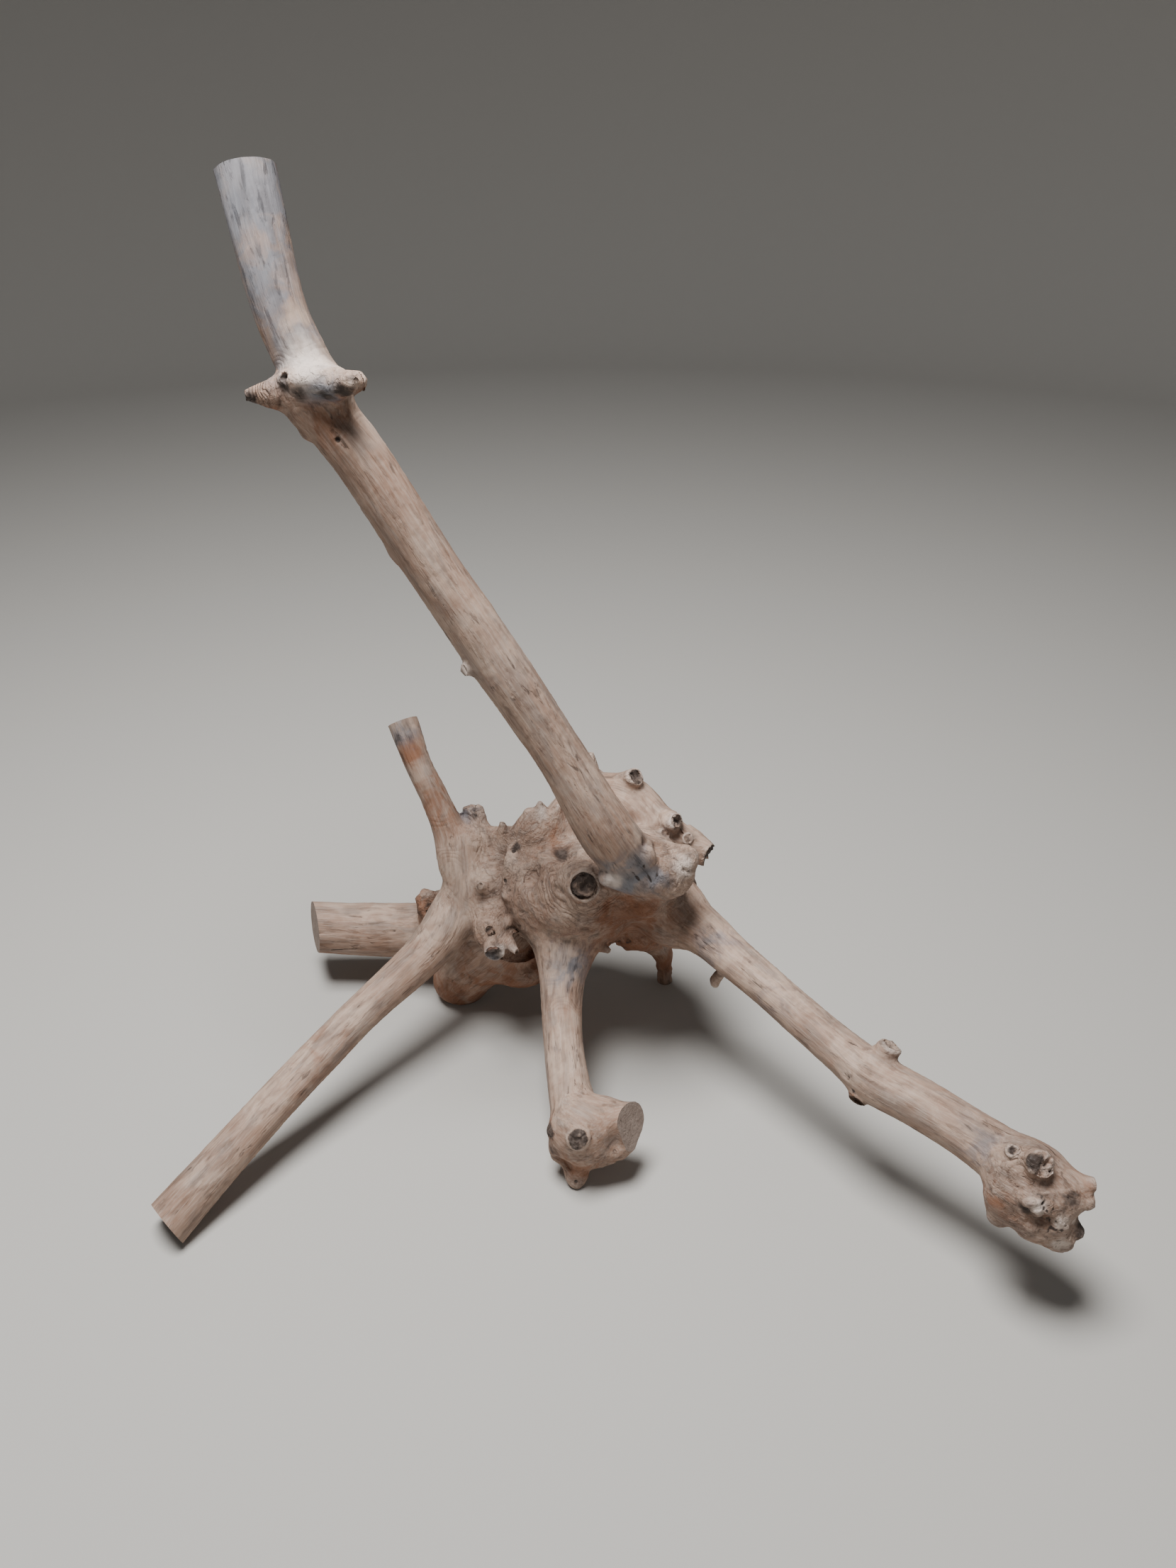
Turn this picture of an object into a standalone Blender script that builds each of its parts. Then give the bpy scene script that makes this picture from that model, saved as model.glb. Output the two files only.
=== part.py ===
"""Dry root: a sandblasted hardwood root crown with one long branch and four cut limbs.

The root grew as one piece, so it is one solid. Its limbs are bevelled curves and its
swollen crown is a cluster of lumps. A voxel remesh melts them into one skin, and flat
cuts then make the sawn ends and the small worn feet that it rests on.
Design points are in millimetres: X to the right, Y to the back, Z up, floor at Z = 0.
"""

import bpy
import bmesh
from mathutils import Vector

MM = 0.001

NODE_NAME = "dry_root"
COLLECTION_NAME = "Dry root"
WOOD_COLOUR = (0.47, 0.37, 0.28, 1.0)
WOOD_ROUGHNESS = 0.82

# Driving sizes.
CENTRE_X = 4.7             # middle of the finished root's box, in the design frame
CENTRE_Y = 12.4
SKIN_VOXEL = 3.2           # cell of the remesh that melts the limbs together
SKIN_SMOOTH_ROUNDS = 5
SKIN_TRIANGLES = 9000
CURVE_STEPS = 8            # segments between two points of a limb
RING_STEPS = 6             # a limb's ring has 4 + 2 * RING_STEPS sides
CUT_BLOCK = 60.0           # side of the block that saws an end off

# Each limb runs from inside the crown outwards: (x, y, z, radius).
LIMBS = {
    "trunk": [
        (50, 96, 180, 21), (35, 65, 205, 20.5), (13, 47, 247, 20.2), (-21, 54, 308, 17.8),
        (-65, 65, 378, 18.6), (-101, 73, 436, 17.8), (-139, 82, 499, 18.2),
        (-161, 89, 530, 17.6), (-173, 94, 559, 16.6), (-184, 101, 586, 16.2),
        (-194, 115, 623, 17.4), (-203, 133, 662, 18.6), (-207, 143, 682, 19),
    ],
    "upright_stub": [
        (-90, 124, 118, 22), (-105, 133, 155, 17), (-113, 145, 180, 13),
        (-125, 157, 206, 11.4), (-138, 169, 230, 11.2), (-148, 183, 254, 12.6),
        (-155, 191, 272, 13),
    ],
    "back_stub": [
        (-84, 148, 78, 27), (-131, 164, 62, 23.6), (-190, 173, 54, 23.4),
        (-243, 173, 57, 22.8), (-266, 173, 58, 22.8),
    ],
    "left_leg": [
        (-84, 140, 132, 26), (-105, 122, 117, 22.5), (-119, 104, 107, 19),
        (-134, 86, 97, 16.8), (-153, 65, 89, 15.8), (-177, 40, 79, 15.2),
        (-207, 5, 65, 15.2), (-236, -29, 50, 15), (-262, -62, 36, 15.5),
        (-281, -85, 25, 16.6), (-296, -104, 16.5, 17.4), (-308, -119, 8, 18),
    ],
    "middle_leg": [
        (-20, 110, 126, 32), (-18, 88, 112, 26.5), (-20, 64, 93, 18.4),
        (-20, 32, 77, 15.8), (-17, 0, 63, 15.8), (-11, -28, 49, 18), (-3, -46, 40, 22),
    ],
    "right_leg": [
        (52, 118, 134, 30), (73, 96, 131, 23), (94, 73, 130, 17.8),
        (112, 51, 126, 15.8), (132, 28, 121, 15.2), (158, -3, 114, 15.4),
        (184, -32, 107, 16.2), (203, -54, 104, 18), (227, -76, 104, 17.8),
        (255, -101, 102, 17.8), (280, -126, 99, 20), (300, -146, 98, 19),
    ],
    "rear_ridge": [
        (-20, 158, 150, 34), (0, 160, 188, 27), (16, 155, 204, 21), (34, 146, 206, 20),
        (56, 133, 193, 16), (78, 124, 180, 12.5), (93, 120, 174, 9.5),
    ],
    "crown_foot": [
        (-70, 132, 90, 34), (-98, 142, 50, 30), (-114, 147, 22, 23), (-117, 149, 13, 17),
    ],
    "prop_root": [
        (40, 140, 92, 26), (56, 150, 62, 13), (66, 160, 38, 8.5), (69, 165, 18, 6.2),
        (70, 167, -3, 6.8),
    ],
    "foot_side_branch": [
        (0, -44, 46, 18), (14, -46, 48, 16), (24, -47, 50, 15), (34, -50, 54, 15.3),
        (44, -55, 58, 15.8),
    ],
}

# Swellings of the crown and of the far ends: (x, y, z), (radius x, y, z).
LUMPS = [
    ((-14, 112, 138), (54, 44, 48)),
    ((-8, 92, 156), (36, 32, 33)),
    ((-18, 150, 112), (58, 40, 50)),
    ((34, 134, 140), (50, 40, 46)),
    ((-80, 132, 128), (34, 30, 38)),
    ((-92, 140, 160), (22, 17, 26)),
    ((-62, 144, 162), (26, 18, 20)),
    ((-42, 138, 176), (21, 18, 25)),
    ((-2, 70, 182), (21, 12, 18)),
    ((12, 158, 190), (24, 18, 28)),
    ((38, 102, 168), (36, 36, 38)),
    ((43, 65, 202), (27, 26, 20)),
    ((58, 72, 193), (21, 23, 19)),
    ((22, 41, 223), (8, 7, 6)),
    ((40, 49, 226), (10, 8, 6)),
    ((68, 100, 132), (26, 28, 28)),
    ((-76, 100, 116), (17, 22, 19)),
    ((-58, 132, 56), (34, 26, 22)),
    ((-122, 156, 82), (24, 20, 24)),
    ((-137, 150, 100), (10, 10, 14)),
    ((-111, 147, 15), (20, 17, 17.5)),
    ((-165, 85, 543), (20, 17, 19)),
    ((-172, 86, 534), (12, 12, 12)),
    ((-162, 75, 553), (19, 10, 7)),
    ((-152, 69, 551), (10, 7, 7.5)),
    ((-4, -48, 42), (24, 19, 24)),
    ((12, -42, 52), (16, 13, 14)),
    ((8, -52, 30), (20, 14, 16)),
    ((22, -50, 34), (13, 12, 12)),
    ((-14, -50, 26), (14, 11, 14)),
    ((-8, -57, 8), (8, 8.5, 10.5)),
    ((282, -137, 104), (25, 22, 21)),
    ((270, -146, 93), (14, 13, 14)),
    ((280, -154, 87), (14, 11, 10)),
    ((290, -160, 82), (12, 9, 9)),
    ((292, -156, 97), (18, 14, 17)),
    ((281, -161, 107), (11, 9, 9)),
    ((299, -163, 84), (11, 9, 14)),
]

# Snags, thorns and broken twigs: root (x, y, z), tip (x, y, z), radius at root and tip.
SNAGS = [
    ((-178, 84, 543), (-206, 78, 543), 13.5, 3.4),
    ((-160, 76, 552), (-143, 66, 552), 9, 6.5),
    ((-148, 67, 553), (-137, 62, 554), 6.5, 3.2),
    ((-156, 96, 544), (-142, 105, 545), 10, 6.0),
    ((-168, 86, 530), (-172, 83, 520), 9, 5.5),
    ((-68, 64, 371), (-82, 53, 371), 8, 4.0),
    ((-100, 146, 160), (-128, 168, 148), 4, 1.6),
    ((-92, 148, 170), (-98, 160, 192), 10, 5),
    ((-88, 150, 176), (-89, 160, 193), 8, 2.6),
    ((-68, 138, 176), (-69, 137, 192), 8, 2.4),
    ((-57, 130, 182), (-63, 100, 150), 8, 6.5),
    ((-42, 140, 186), (-47, 140, 199), 13, 5.5),
    ((-37, 141, 188), (-38, 140, 209), 12, 2.6),
    ((-30, 142, 186), (-24, 142, 205), 12, 2.4),
    ((4, 162, 208), (2, 168, 240), 11, 2.4),
    ((30, 50, 206), (15, 38, 212), 14, 7.5),
    ((-66, 84, 116), (-56, 68, 116), 7, 2.0),
    ((0, 84, 116), (17, 73, 113), 8, 2.0),
    ((-84, 110, 147), (-86, 104, 154), 6.5, 3.0),
    ((40, 128, 100), (34, 128, 72), 12, 3.2),
    ((22, 124, 96), (14, 122, 78), 9, 3.0),
    ((30, 132, 98), (50, 136, 74), 10, 3.2),
    ((196, -52, 96), (190, -62, 90), 9, 6),
    ((-18, -44, 44), (-25, -50, 46), 9, 5),
    ((-16, -46, 34), (-21, -54, 33), 7, 4),
    ((-6, -52, 24), (-9, -60, 5), 9, 6.4),
    ((300, -146, 102), (319, -152, 112), 12, 4.5),
    ((298, -148, 100), (314, -156, 101), 12, 7.5),
    ((296, -160, 84), (302, -167, 76), 10, 7),
    ((302, -158, 92), (313, -166, 82), 7, 4),
    ((270, -146, 88), (266, -150, 80), 11, 7),
]

# Broken branch stubs and knots. name: middle of the face, the way the face looks, its
# radius, the length of the stub, and the radius where it leaves the wood.
STUBS = {
    "crown_eye": ((-3, 57.5, 189), (0.06, -0.83, 0.55), 11.4, 14, 18.5),
    "ridge_top": ((38, 142, 233), (0.45, -0.45, 0.77), 7.0, 14, 12.0),
    "ridge_disc": ((70, 114, 210), (0.45, -0.70, 0.55), 6.4, 12, 11.0),
    "ridge_ring": ((60, 113, 199), (0.10, -0.84, 0.53), 3.8, 9, 7.0),
    "ridge_knot": ((79, 113, 194), (0.35, -0.80, 0.50), 4.4, 9, 8.0),
    "ridge_end": ((96, 117, 178), (0.80, -0.50, -0.33), 7.4, 14, 10.0),
    "crown_dot": ((-78, 79, 130), (0.05, -0.86, 0.50), 4.0, 10, 7.0),
    "crown_stub": ((-74, 65, 117), (0.06, -0.97, -0.10), 7.8, 14, 9.6),
    "collar_eye": ((-180, 71, 555), (-0.20, -0.90, 0.38), 3.0, 12, 8.0),
    "limb_twig": ((101, 65, 87), (-0.25, 0.30, -0.92), 4.0, 22, 5.6),
    "limb_snag": ((213, -46, 128), (0.50, 0.18, 0.85), 7.6, 16, 12.0),
    "limb_ring_a": ((184, -53, 106), (-0.30, -0.82, 0.48), 3.6, 9, 6.4),
    "limb_ring_b": ((191, -53, 106), (0.05, -0.85, 0.52), 3.5, 9, 6.4),
    "limb_ring_c": ((190, -56, 98), (-0.10, -0.93, 0.34), 4.4, 10, 7.4),
    "foot_eye": ((-7, -67, 57), (0.02, -0.80, 0.60), 7.8, 14, 11.0),
    "burl_ring": ((270, -138, 127), (-0.20, -0.60, 0.78), 3.6, 15, 5.0),
    "burl_stub": ((283, -154, 132), (-0.05, -0.62, 0.78), 8.8, 24, 12.0),
    "rear_scar": ((-40, 190, 128), (-0.30, 0.93, 0.20), 11.0, 16, 17.0),
    "rear_scar_low": ((34, 171, 112), (0.42, 0.90, -0.10), 8.0, 14, 13.0),
    "rear_scar_side": ((86, 128, 142), (0.86, 0.46, 0.20), 6.0, 14, 11.0),
    "branch_scar": ((-112, 91, 452), (0.25, 0.92, 0.28), 6.4, 12, 11.0),
}

# Sawn ends: a point on the cut, and the direction of the piece that falls away.
SAWN_ENDS = {
    "trunk_top": ((-202, 132, 660.5), (-0.17, 0.36, 0.92)),
    "upright_top": ((-150, 185, 259), (-0.34, 0.52, 0.78)),
    "back_stub_end": ((-243, 173, 57), (-0.93, -0.35, 0.10)),
    "left_leg_end": ((-298, -107, 15), (-0.70, -0.66, -0.27)),
    "side_branch_end": ((31.5, -49, 52.5), (0.76, -0.55, 0.35)),
}


def design_point(x, y, z):
    """The design frame in millimetres, moved to the part's own frame in metres."""
    return Vector((x - CENTRE_X, y - CENTRE_Y, z)) * MM


def new_collection(name):
    collection = bpy.data.collections.new(name)
    bpy.context.scene.collection.children.link(collection)
    return collection


def wood_material():
    material = bpy.data.materials.new("Dry wood")
    material.use_nodes = True
    shader = material.node_tree.nodes["Principled BSDF"]
    shader.inputs["Base Color"].default_value = WOOD_COLOUR
    shader.inputs["Roughness"].default_value = WOOD_ROUGHNESS
    shader.inputs["Metallic"].default_value = 0.0
    return material


def curve_solid(name, points, collection):
    """A round rod through the points, with the radius given at each one."""
    curve = bpy.data.curves.new(name, "CURVE")
    curve.dimensions = "3D"
    curve.bevel_depth = MM
    curve.bevel_resolution = RING_STEPS
    curve.use_fill_caps = True
    curve.resolution_u = CURVE_STEPS
    spline = curve.splines.new("BEZIER")
    spline.bezier_points.add(len(points) - 1)
    for knot, (x, y, z, radius) in zip(spline.bezier_points, points):
        knot.co = design_point(x, y, z)
        knot.radius = radius
        knot.handle_left_type = "AUTO"
        knot.handle_right_type = "AUTO"
    rod = bpy.data.objects.new(name, curve)
    collection.objects.link(rod)
    return rod


def meshed(rod, collection):
    """The rod as a mesh object with its caps welded on; the curve is removed."""
    bpy.context.view_layer.update()
    depsgraph = bpy.context.evaluated_depsgraph_get()
    mesh = bpy.data.meshes.new_from_object(rod.evaluated_get(depsgraph))
    shape = bmesh.new()
    shape.from_mesh(mesh)
    bmesh.ops.remove_doubles(shape, verts=shape.verts, dist=1e-6)
    shape.to_mesh(mesh)
    shape.free()
    solid = bpy.data.objects.new(rod.name + "_mesh", mesh)
    solid.matrix_world = rod.matrix_world
    collection.objects.link(solid)
    bpy.data.objects.remove(rod)
    return solid


def lump(name, centre, radii, collection):
    """A swelling: a ball stretched to three radii."""
    shape = bmesh.new()
    bmesh.ops.create_uvsphere(shape, u_segments=28, v_segments=18, radius=1.0)
    bmesh.ops.scale(shape, vec=Vector(radii) * MM, verts=shape.verts)
    bmesh.ops.translate(shape, vec=design_point(*centre), verts=shape.verts)
    mesh = bpy.data.meshes.new(name)
    shape.to_mesh(mesh)
    shape.free()
    ball = bpy.data.objects.new(name, mesh)
    collection.objects.link(ball)
    return ball


def growth_shapes(collection):
    """Every limb, snag, stub and lump as its own closed mesh."""
    shapes = []
    for name, points in LIMBS.items():
        shapes.append(meshed(curve_solid(name, points, collection), collection))
    for number, (root, tip, thick, thin) in enumerate(SNAGS):
        points = [(*root, thick), (*tip, thin)]
        rod = curve_solid(f"snag_{number}", points, collection)
        shapes.append(meshed(rod, collection))
    for name, (face, looks, radius, length, neck) in STUBS.items():
        root = Vector(face) - Vector(looks).normalized() * length
        rod = curve_solid(name, [(*root, neck), (*face, radius)], collection)
        shapes.append(meshed(rod, collection))
    for number, (centre, radii) in enumerate(LUMPS):
        shapes.append(lump(f"lump_{number}", centre, radii, collection))
    return shapes


def joined(name, shapes, collection):
    """All the shapes in one mesh object, still overlapping."""
    shape = bmesh.new()
    for part in shapes:
        shape.from_mesh(part.data)
        bpy.data.objects.remove(part)
    mesh = bpy.data.meshes.new(name)
    shape.to_mesh(mesh)
    shape.free()
    root = bpy.data.objects.new(name, mesh)
    collection.objects.link(root)
    return root


def melt_skin(root):
    """One closed skin over everything, its joints softened, with few triangles."""
    remesh = root.modifiers.new("Skin", "REMESH")
    remesh.mode = "VOXEL"
    remesh.voxel_size = SKIN_VOXEL * MM
    smooth = root.modifiers.new("Soften", "SMOOTH")
    smooth.factor = 0.5
    smooth.iterations = SKIN_SMOOTH_ROUNDS
    root.data = evaluated_mesh(root)
    root.modifiers.clear()
    triangle_count = sum(len(face.vertices) - 2 for face in root.data.polygons)
    thin = root.modifiers.new("Thin out", "DECIMATE")
    thin.ratio = SKIN_TRIANGLES / triangle_count
    thin.use_collapse_triangulate = True
    root.data = evaluated_mesh(root)
    root.modifiers.clear()


def evaluated_mesh(item):
    bpy.context.view_layer.update()
    depsgraph = bpy.context.evaluated_depsgraph_get()
    return bpy.data.meshes.new_from_object(item.evaluated_get(depsgraph))


def cutter(name, location, direction, size, collection):
    """A block whose near face lies on the cut, reaching away along the direction."""
    bpy.ops.mesh.primitive_cube_add(size=size * MM)
    block = bpy.context.active_object
    block.name = name
    for old in block.users_collection:
        old.objects.unlink(block)
    collection.objects.link(block)
    away = Vector(direction).normalized()
    block.rotation_mode = "QUATERNION"
    block.rotation_quaternion = away.to_track_quat("Z", "Y")
    block.location = location + away * (size * MM / 2)
    block.hide_render = True
    block.display_type = "WIRE"
    return block


def saw(root, block):
    cut = root.modifiers.new(block.name, "BOOLEAN")
    cut.operation = "DIFFERENCE"
    cut.solver = "EXACT"
    cut.object = block


def main():
    for item in list(bpy.data.objects):
        bpy.data.objects.remove(item)
    growth = new_collection(COLLECTION_NAME)
    cutters = new_collection("Cutters")

    root = joined(NODE_NAME, growth_shapes(growth), growth)
    melt_skin(root)
    root.data.materials.clear()
    root.data.materials.append(wood_material())
    root.data.shade_smooth()

    for name, (place, away) in SAWN_ENDS.items():
        saw(root, cutter(name, design_point(*place), away, CUT_BLOCK, cutters))
    floor_level = design_point(CENTRE_X, CENTRE_Y, 0)
    saw(root, cutter("floor", floor_level, (0, 0, -1), 900, cutters))


main()
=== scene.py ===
"""Dry root: the sandblasted root crown with its long branch and cut limbs, finished to look at.

The wood is one skin. Limbs are round profiles carried along smooth paths, lumps are stretched
balls, and a smooth union melts them together, as wood grows round its own branches. Knots,
folds, drying cracks and sawn ends are then pressed into that skin.
Design points are in millimetres: X to the right, Y to the back, Z up, the surface at Z = 0.
"""

import math

import bpy
import numpy as np
from bpy.props import FloatProperty, FloatVectorProperty, PointerProperty
from bpy.types import Operator, Panel, PropertyGroup
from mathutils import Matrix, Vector


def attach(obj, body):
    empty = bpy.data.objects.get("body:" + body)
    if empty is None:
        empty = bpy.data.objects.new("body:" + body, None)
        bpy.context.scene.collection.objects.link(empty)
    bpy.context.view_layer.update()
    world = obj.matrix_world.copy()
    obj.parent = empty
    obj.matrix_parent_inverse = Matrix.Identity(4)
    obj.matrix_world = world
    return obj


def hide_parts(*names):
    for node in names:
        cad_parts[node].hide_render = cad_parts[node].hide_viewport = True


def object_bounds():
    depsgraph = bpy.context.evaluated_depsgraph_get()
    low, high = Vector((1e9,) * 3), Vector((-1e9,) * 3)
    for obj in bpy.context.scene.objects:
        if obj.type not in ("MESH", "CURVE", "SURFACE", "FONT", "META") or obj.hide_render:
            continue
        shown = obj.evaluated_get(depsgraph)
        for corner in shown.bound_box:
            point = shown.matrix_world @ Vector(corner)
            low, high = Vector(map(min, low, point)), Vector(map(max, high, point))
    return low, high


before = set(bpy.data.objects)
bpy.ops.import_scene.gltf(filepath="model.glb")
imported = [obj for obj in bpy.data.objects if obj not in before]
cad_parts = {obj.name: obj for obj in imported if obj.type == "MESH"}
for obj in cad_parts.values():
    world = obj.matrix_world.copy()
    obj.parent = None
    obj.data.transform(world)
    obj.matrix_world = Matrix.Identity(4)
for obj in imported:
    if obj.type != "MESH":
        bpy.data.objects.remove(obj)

CAD_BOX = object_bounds()

bl_info = {
    "name": "Dry root",
    "version": (1, 0, 0),
    "blender": (4, 5, 0),
    "location": "3D View > Sidebar > Dry root",
    "description": "Makes a sandblasted dry root with a long branch, knots and sawn ends",
    "category": "Add Mesh",
}

MM = 0.001
NODE = "dry_root"
CENTRE = np.array([4.7, 12.4, 0.0])    # middle of the finished root's box, in the design frame

# ---------------------------------------------------------------------------------------
# The root's design. Each limb runs from inside the crown outwards: (x, y, z, radius).

LIMBS = {
    "trunk": [
        (50, 96, 180, 21), (35, 65, 205, 20.5), (13, 47, 247, 20.2), (-21, 54, 308, 17.8),
        (-65, 65, 378, 18.6), (-101, 73, 436, 17.8), (-139, 82, 499, 18.2),
        (-161, 89, 530, 17.6), (-173, 94, 559, 16.6), (-184, 101, 586, 16.2),
        (-194, 115, 623, 17.4), (-203, 133, 662, 18.6), (-207, 143, 682, 19),
    ],
    "upright_stub": [
        (-90, 124, 118, 22), (-105, 133, 155, 17), (-113, 145, 180, 13),
        (-125, 157, 206, 11.4), (-138, 169, 230, 11.2), (-148, 183, 254, 12.6),
        (-155, 191, 272, 13),
    ],
    "back_stub": [
        (-84, 148, 78, 27), (-131, 164, 62, 23.6), (-190, 173, 54, 23.4),
        (-243, 173, 57, 22.8), (-266, 173, 58, 22.8),
    ],
    "left_leg": [
        (-84, 140, 132, 26), (-105, 122, 117, 22.5), (-119, 104, 107, 19),
        (-134, 86, 97, 16.8), (-153, 65, 89, 15.8), (-177, 40, 79, 15.2),
        (-207, 5, 65, 15.2), (-236, -29, 50, 15), (-262, -62, 36, 15.5),
        (-281, -85, 25, 16.6), (-296, -104, 16.5, 17.4), (-308, -119, 8, 18),
    ],
    "middle_leg": [
        (-20, 110, 126, 32), (-18, 88, 112, 26.5), (-20, 64, 93, 18.4),
        (-20, 32, 77, 15.8), (-17, 0, 63, 15.8), (-11, -28, 49, 18), (-3, -46, 40, 22),
    ],
    "right_leg": [
        (52, 118, 134, 30), (73, 96, 131, 23), (94, 73, 130, 17.8),
        (112, 51, 126, 15.8), (132, 28, 121, 15.2), (158, -3, 114, 15.4),
        (184, -32, 107, 16.2), (203, -54, 104, 18), (227, -76, 104, 17.8),
        (255, -101, 102, 17.8), (280, -126, 99, 20), (300, -146, 98, 19),
    ],
    "rear_ridge": [
        (-20, 158, 150, 34), (0, 160, 188, 27), (16, 155, 204, 21), (34, 146, 206, 20),
        (56, 133, 193, 16), (78, 124, 180, 12.5), (93, 120, 174, 9.5),
    ],
    "crown_foot": [
        (-70, 132, 90, 34), (-98, 142, 50, 30), (-114, 147, 22, 23), (-117, 149, 13, 17),
    ],
    "prop_root": [
        (40, 140, 92, 26), (56, 150, 62, 13), (66, 160, 38, 8.5), (69, 165, 18, 6.2),
        (70, 167, -3, 6.8),
    ],
    "foot_side_branch": [
        (0, -44, 46, 18), (14, -46, 48, 16), (24, -47, 50, 15), (34, -50, 54, 15.3),
        (44, -55, 58, 15.8),
    ],
}

# Swellings of the crown and of the far ends: (x, y, z), (radius x, y, z).
LUMPS = [
    ((-14, 112, 138), (54, 44, 48)),
    ((-8, 92, 156), (36, 32, 33)),
    ((-18, 150, 112), (58, 40, 50)),
    ((34, 134, 140), (50, 40, 46)),
    ((-80, 132, 128), (34, 30, 38)),
    ((-92, 140, 160), (22, 17, 26)),
    ((-62, 144, 162), (26, 18, 20)),
    ((-42, 138, 176), (21, 18, 25)),
    ((-2, 70, 182), (21, 12, 18)),
    ((12, 158, 190), (24, 18, 28)),
    ((38, 102, 168), (36, 36, 38)),
    ((43, 65, 202), (27, 26, 20)),
    ((58, 72, 193), (21, 23, 19)),
    ((41, 60, 213), (15, 14, 13)),
    ((72, 68, 206), (9, 10, 8)),
    ((22, 41, 223), (8, 7, 6)),
    ((40, 49, 226), (10, 8, 6)),
    ((68, 100, 132), (26, 28, 28)),
    ((-76, 100, 116), (17, 22, 19)),
    ((-58, 132, 56), (34, 26, 22)),
    ((-122, 156, 82), (24, 20, 24)),
    ((-137, 150, 100), (10, 10, 14)),
    ((-111, 147, 15), (20, 17, 17.5)),
    ((-165, 85, 543), (20, 17, 19)),
    ((-172, 86, 534), (12, 12, 12)),
    ((-162, 75, 553), (19, 10, 7)),
    ((-152, 69, 551), (10, 7, 7.5)),
    ((-4, -48, 42), (24, 19, 24)),
    ((12, -42, 52), (16, 13, 14)),
    ((8, -52, 30), (20, 14, 16)),
    ((22, -50, 34), (13, 12, 12)),
    ((-14, -50, 26), (14, 11, 14)),
    ((-8, -57, 8), (8, 8.5, 10.5)),
    ((282, -137, 104), (25, 22, 21)),
    ((270, -146, 93), (14, 13, 14)),
    ((280, -154, 87), (14, 11, 10)),
    ((290, -160, 82), (12, 9, 9)),
    ((292, -156, 97), (18, 14, 17)),
    ((281, -161, 107), (11, 9, 9)),
    ((299, -163, 84), (11, 9, 14)),
]

# Snags, thorns and broken twigs: root (x, y, z), tip (x, y, z), radius at root and tip.
SNAGS = [
    ((-178, 84, 543), (-206, 78, 543), 13.5, 3.4),
    ((-160, 76, 552), (-143, 66, 552), 9, 6.5),
    ((-148, 67, 553), (-137, 62, 554), 6.5, 3.2),
    ((-156, 96, 544), (-142, 105, 545), 10, 6.0),
    ((-168, 86, 530), (-172, 83, 520), 9, 5.5),
    ((-68, 64, 371), (-82, 53, 371), 8, 4.0),
    ((-100, 146, 160), (-128, 168, 148), 4, 1.6),
    ((-92, 148, 170), (-98, 160, 192), 10, 5),
    ((-88, 150, 176), (-89, 160, 193), 8, 2.6),
    ((-68, 138, 176), (-69, 137, 192), 8, 2.4),
    ((-57, 130, 182), (-63, 100, 150), 8, 6.5),
    ((-42, 140, 186), (-47, 140, 199), 13, 5.5),
    ((-37, 141, 188), (-38, 140, 209), 12, 2.6),
    ((-30, 142, 186), (-24, 142, 205), 12, 2.4),
    ((4, 162, 208), (2, 168, 240), 11, 2.4),
    ((30, 50, 206), (15, 38, 212), 14, 7.5),
    ((-66, 84, 116), (-56, 68, 116), 7, 2.0),
    ((0, 84, 116), (17, 73, 113), 8, 2.0),
    ((-84, 110, 147), (-86, 104, 154), 6.5, 3.0),
    ((40, 128, 100), (34, 128, 72), 12, 3.2),
    ((22, 124, 96), (14, 122, 78), 9, 3.0),
    ((30, 132, 98), (50, 136, 74), 10, 3.2),
    ((196, -52, 96), (190, -62, 90), 9, 6),
    ((-18, -44, 44), (-25, -50, 46), 9, 5),
    ((-16, -46, 34), (-21, -54, 33), 7, 4),
    ((-6, -52, 24), (-9, -60, 5), 9, 6.4),
    ((300, -146, 102), (319, -152, 112), 12, 4.5),
    ((298, -148, 100), (314, -156, 101), 12, 7.5),
    ((296, -160, 84), (302, -167, 76), 10, 7),
    ((302, -158, 92), (313, -166, 82), 7, 4),
    ((270, -146, 88), (266, -150, 80), 11, 7),
]

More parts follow.
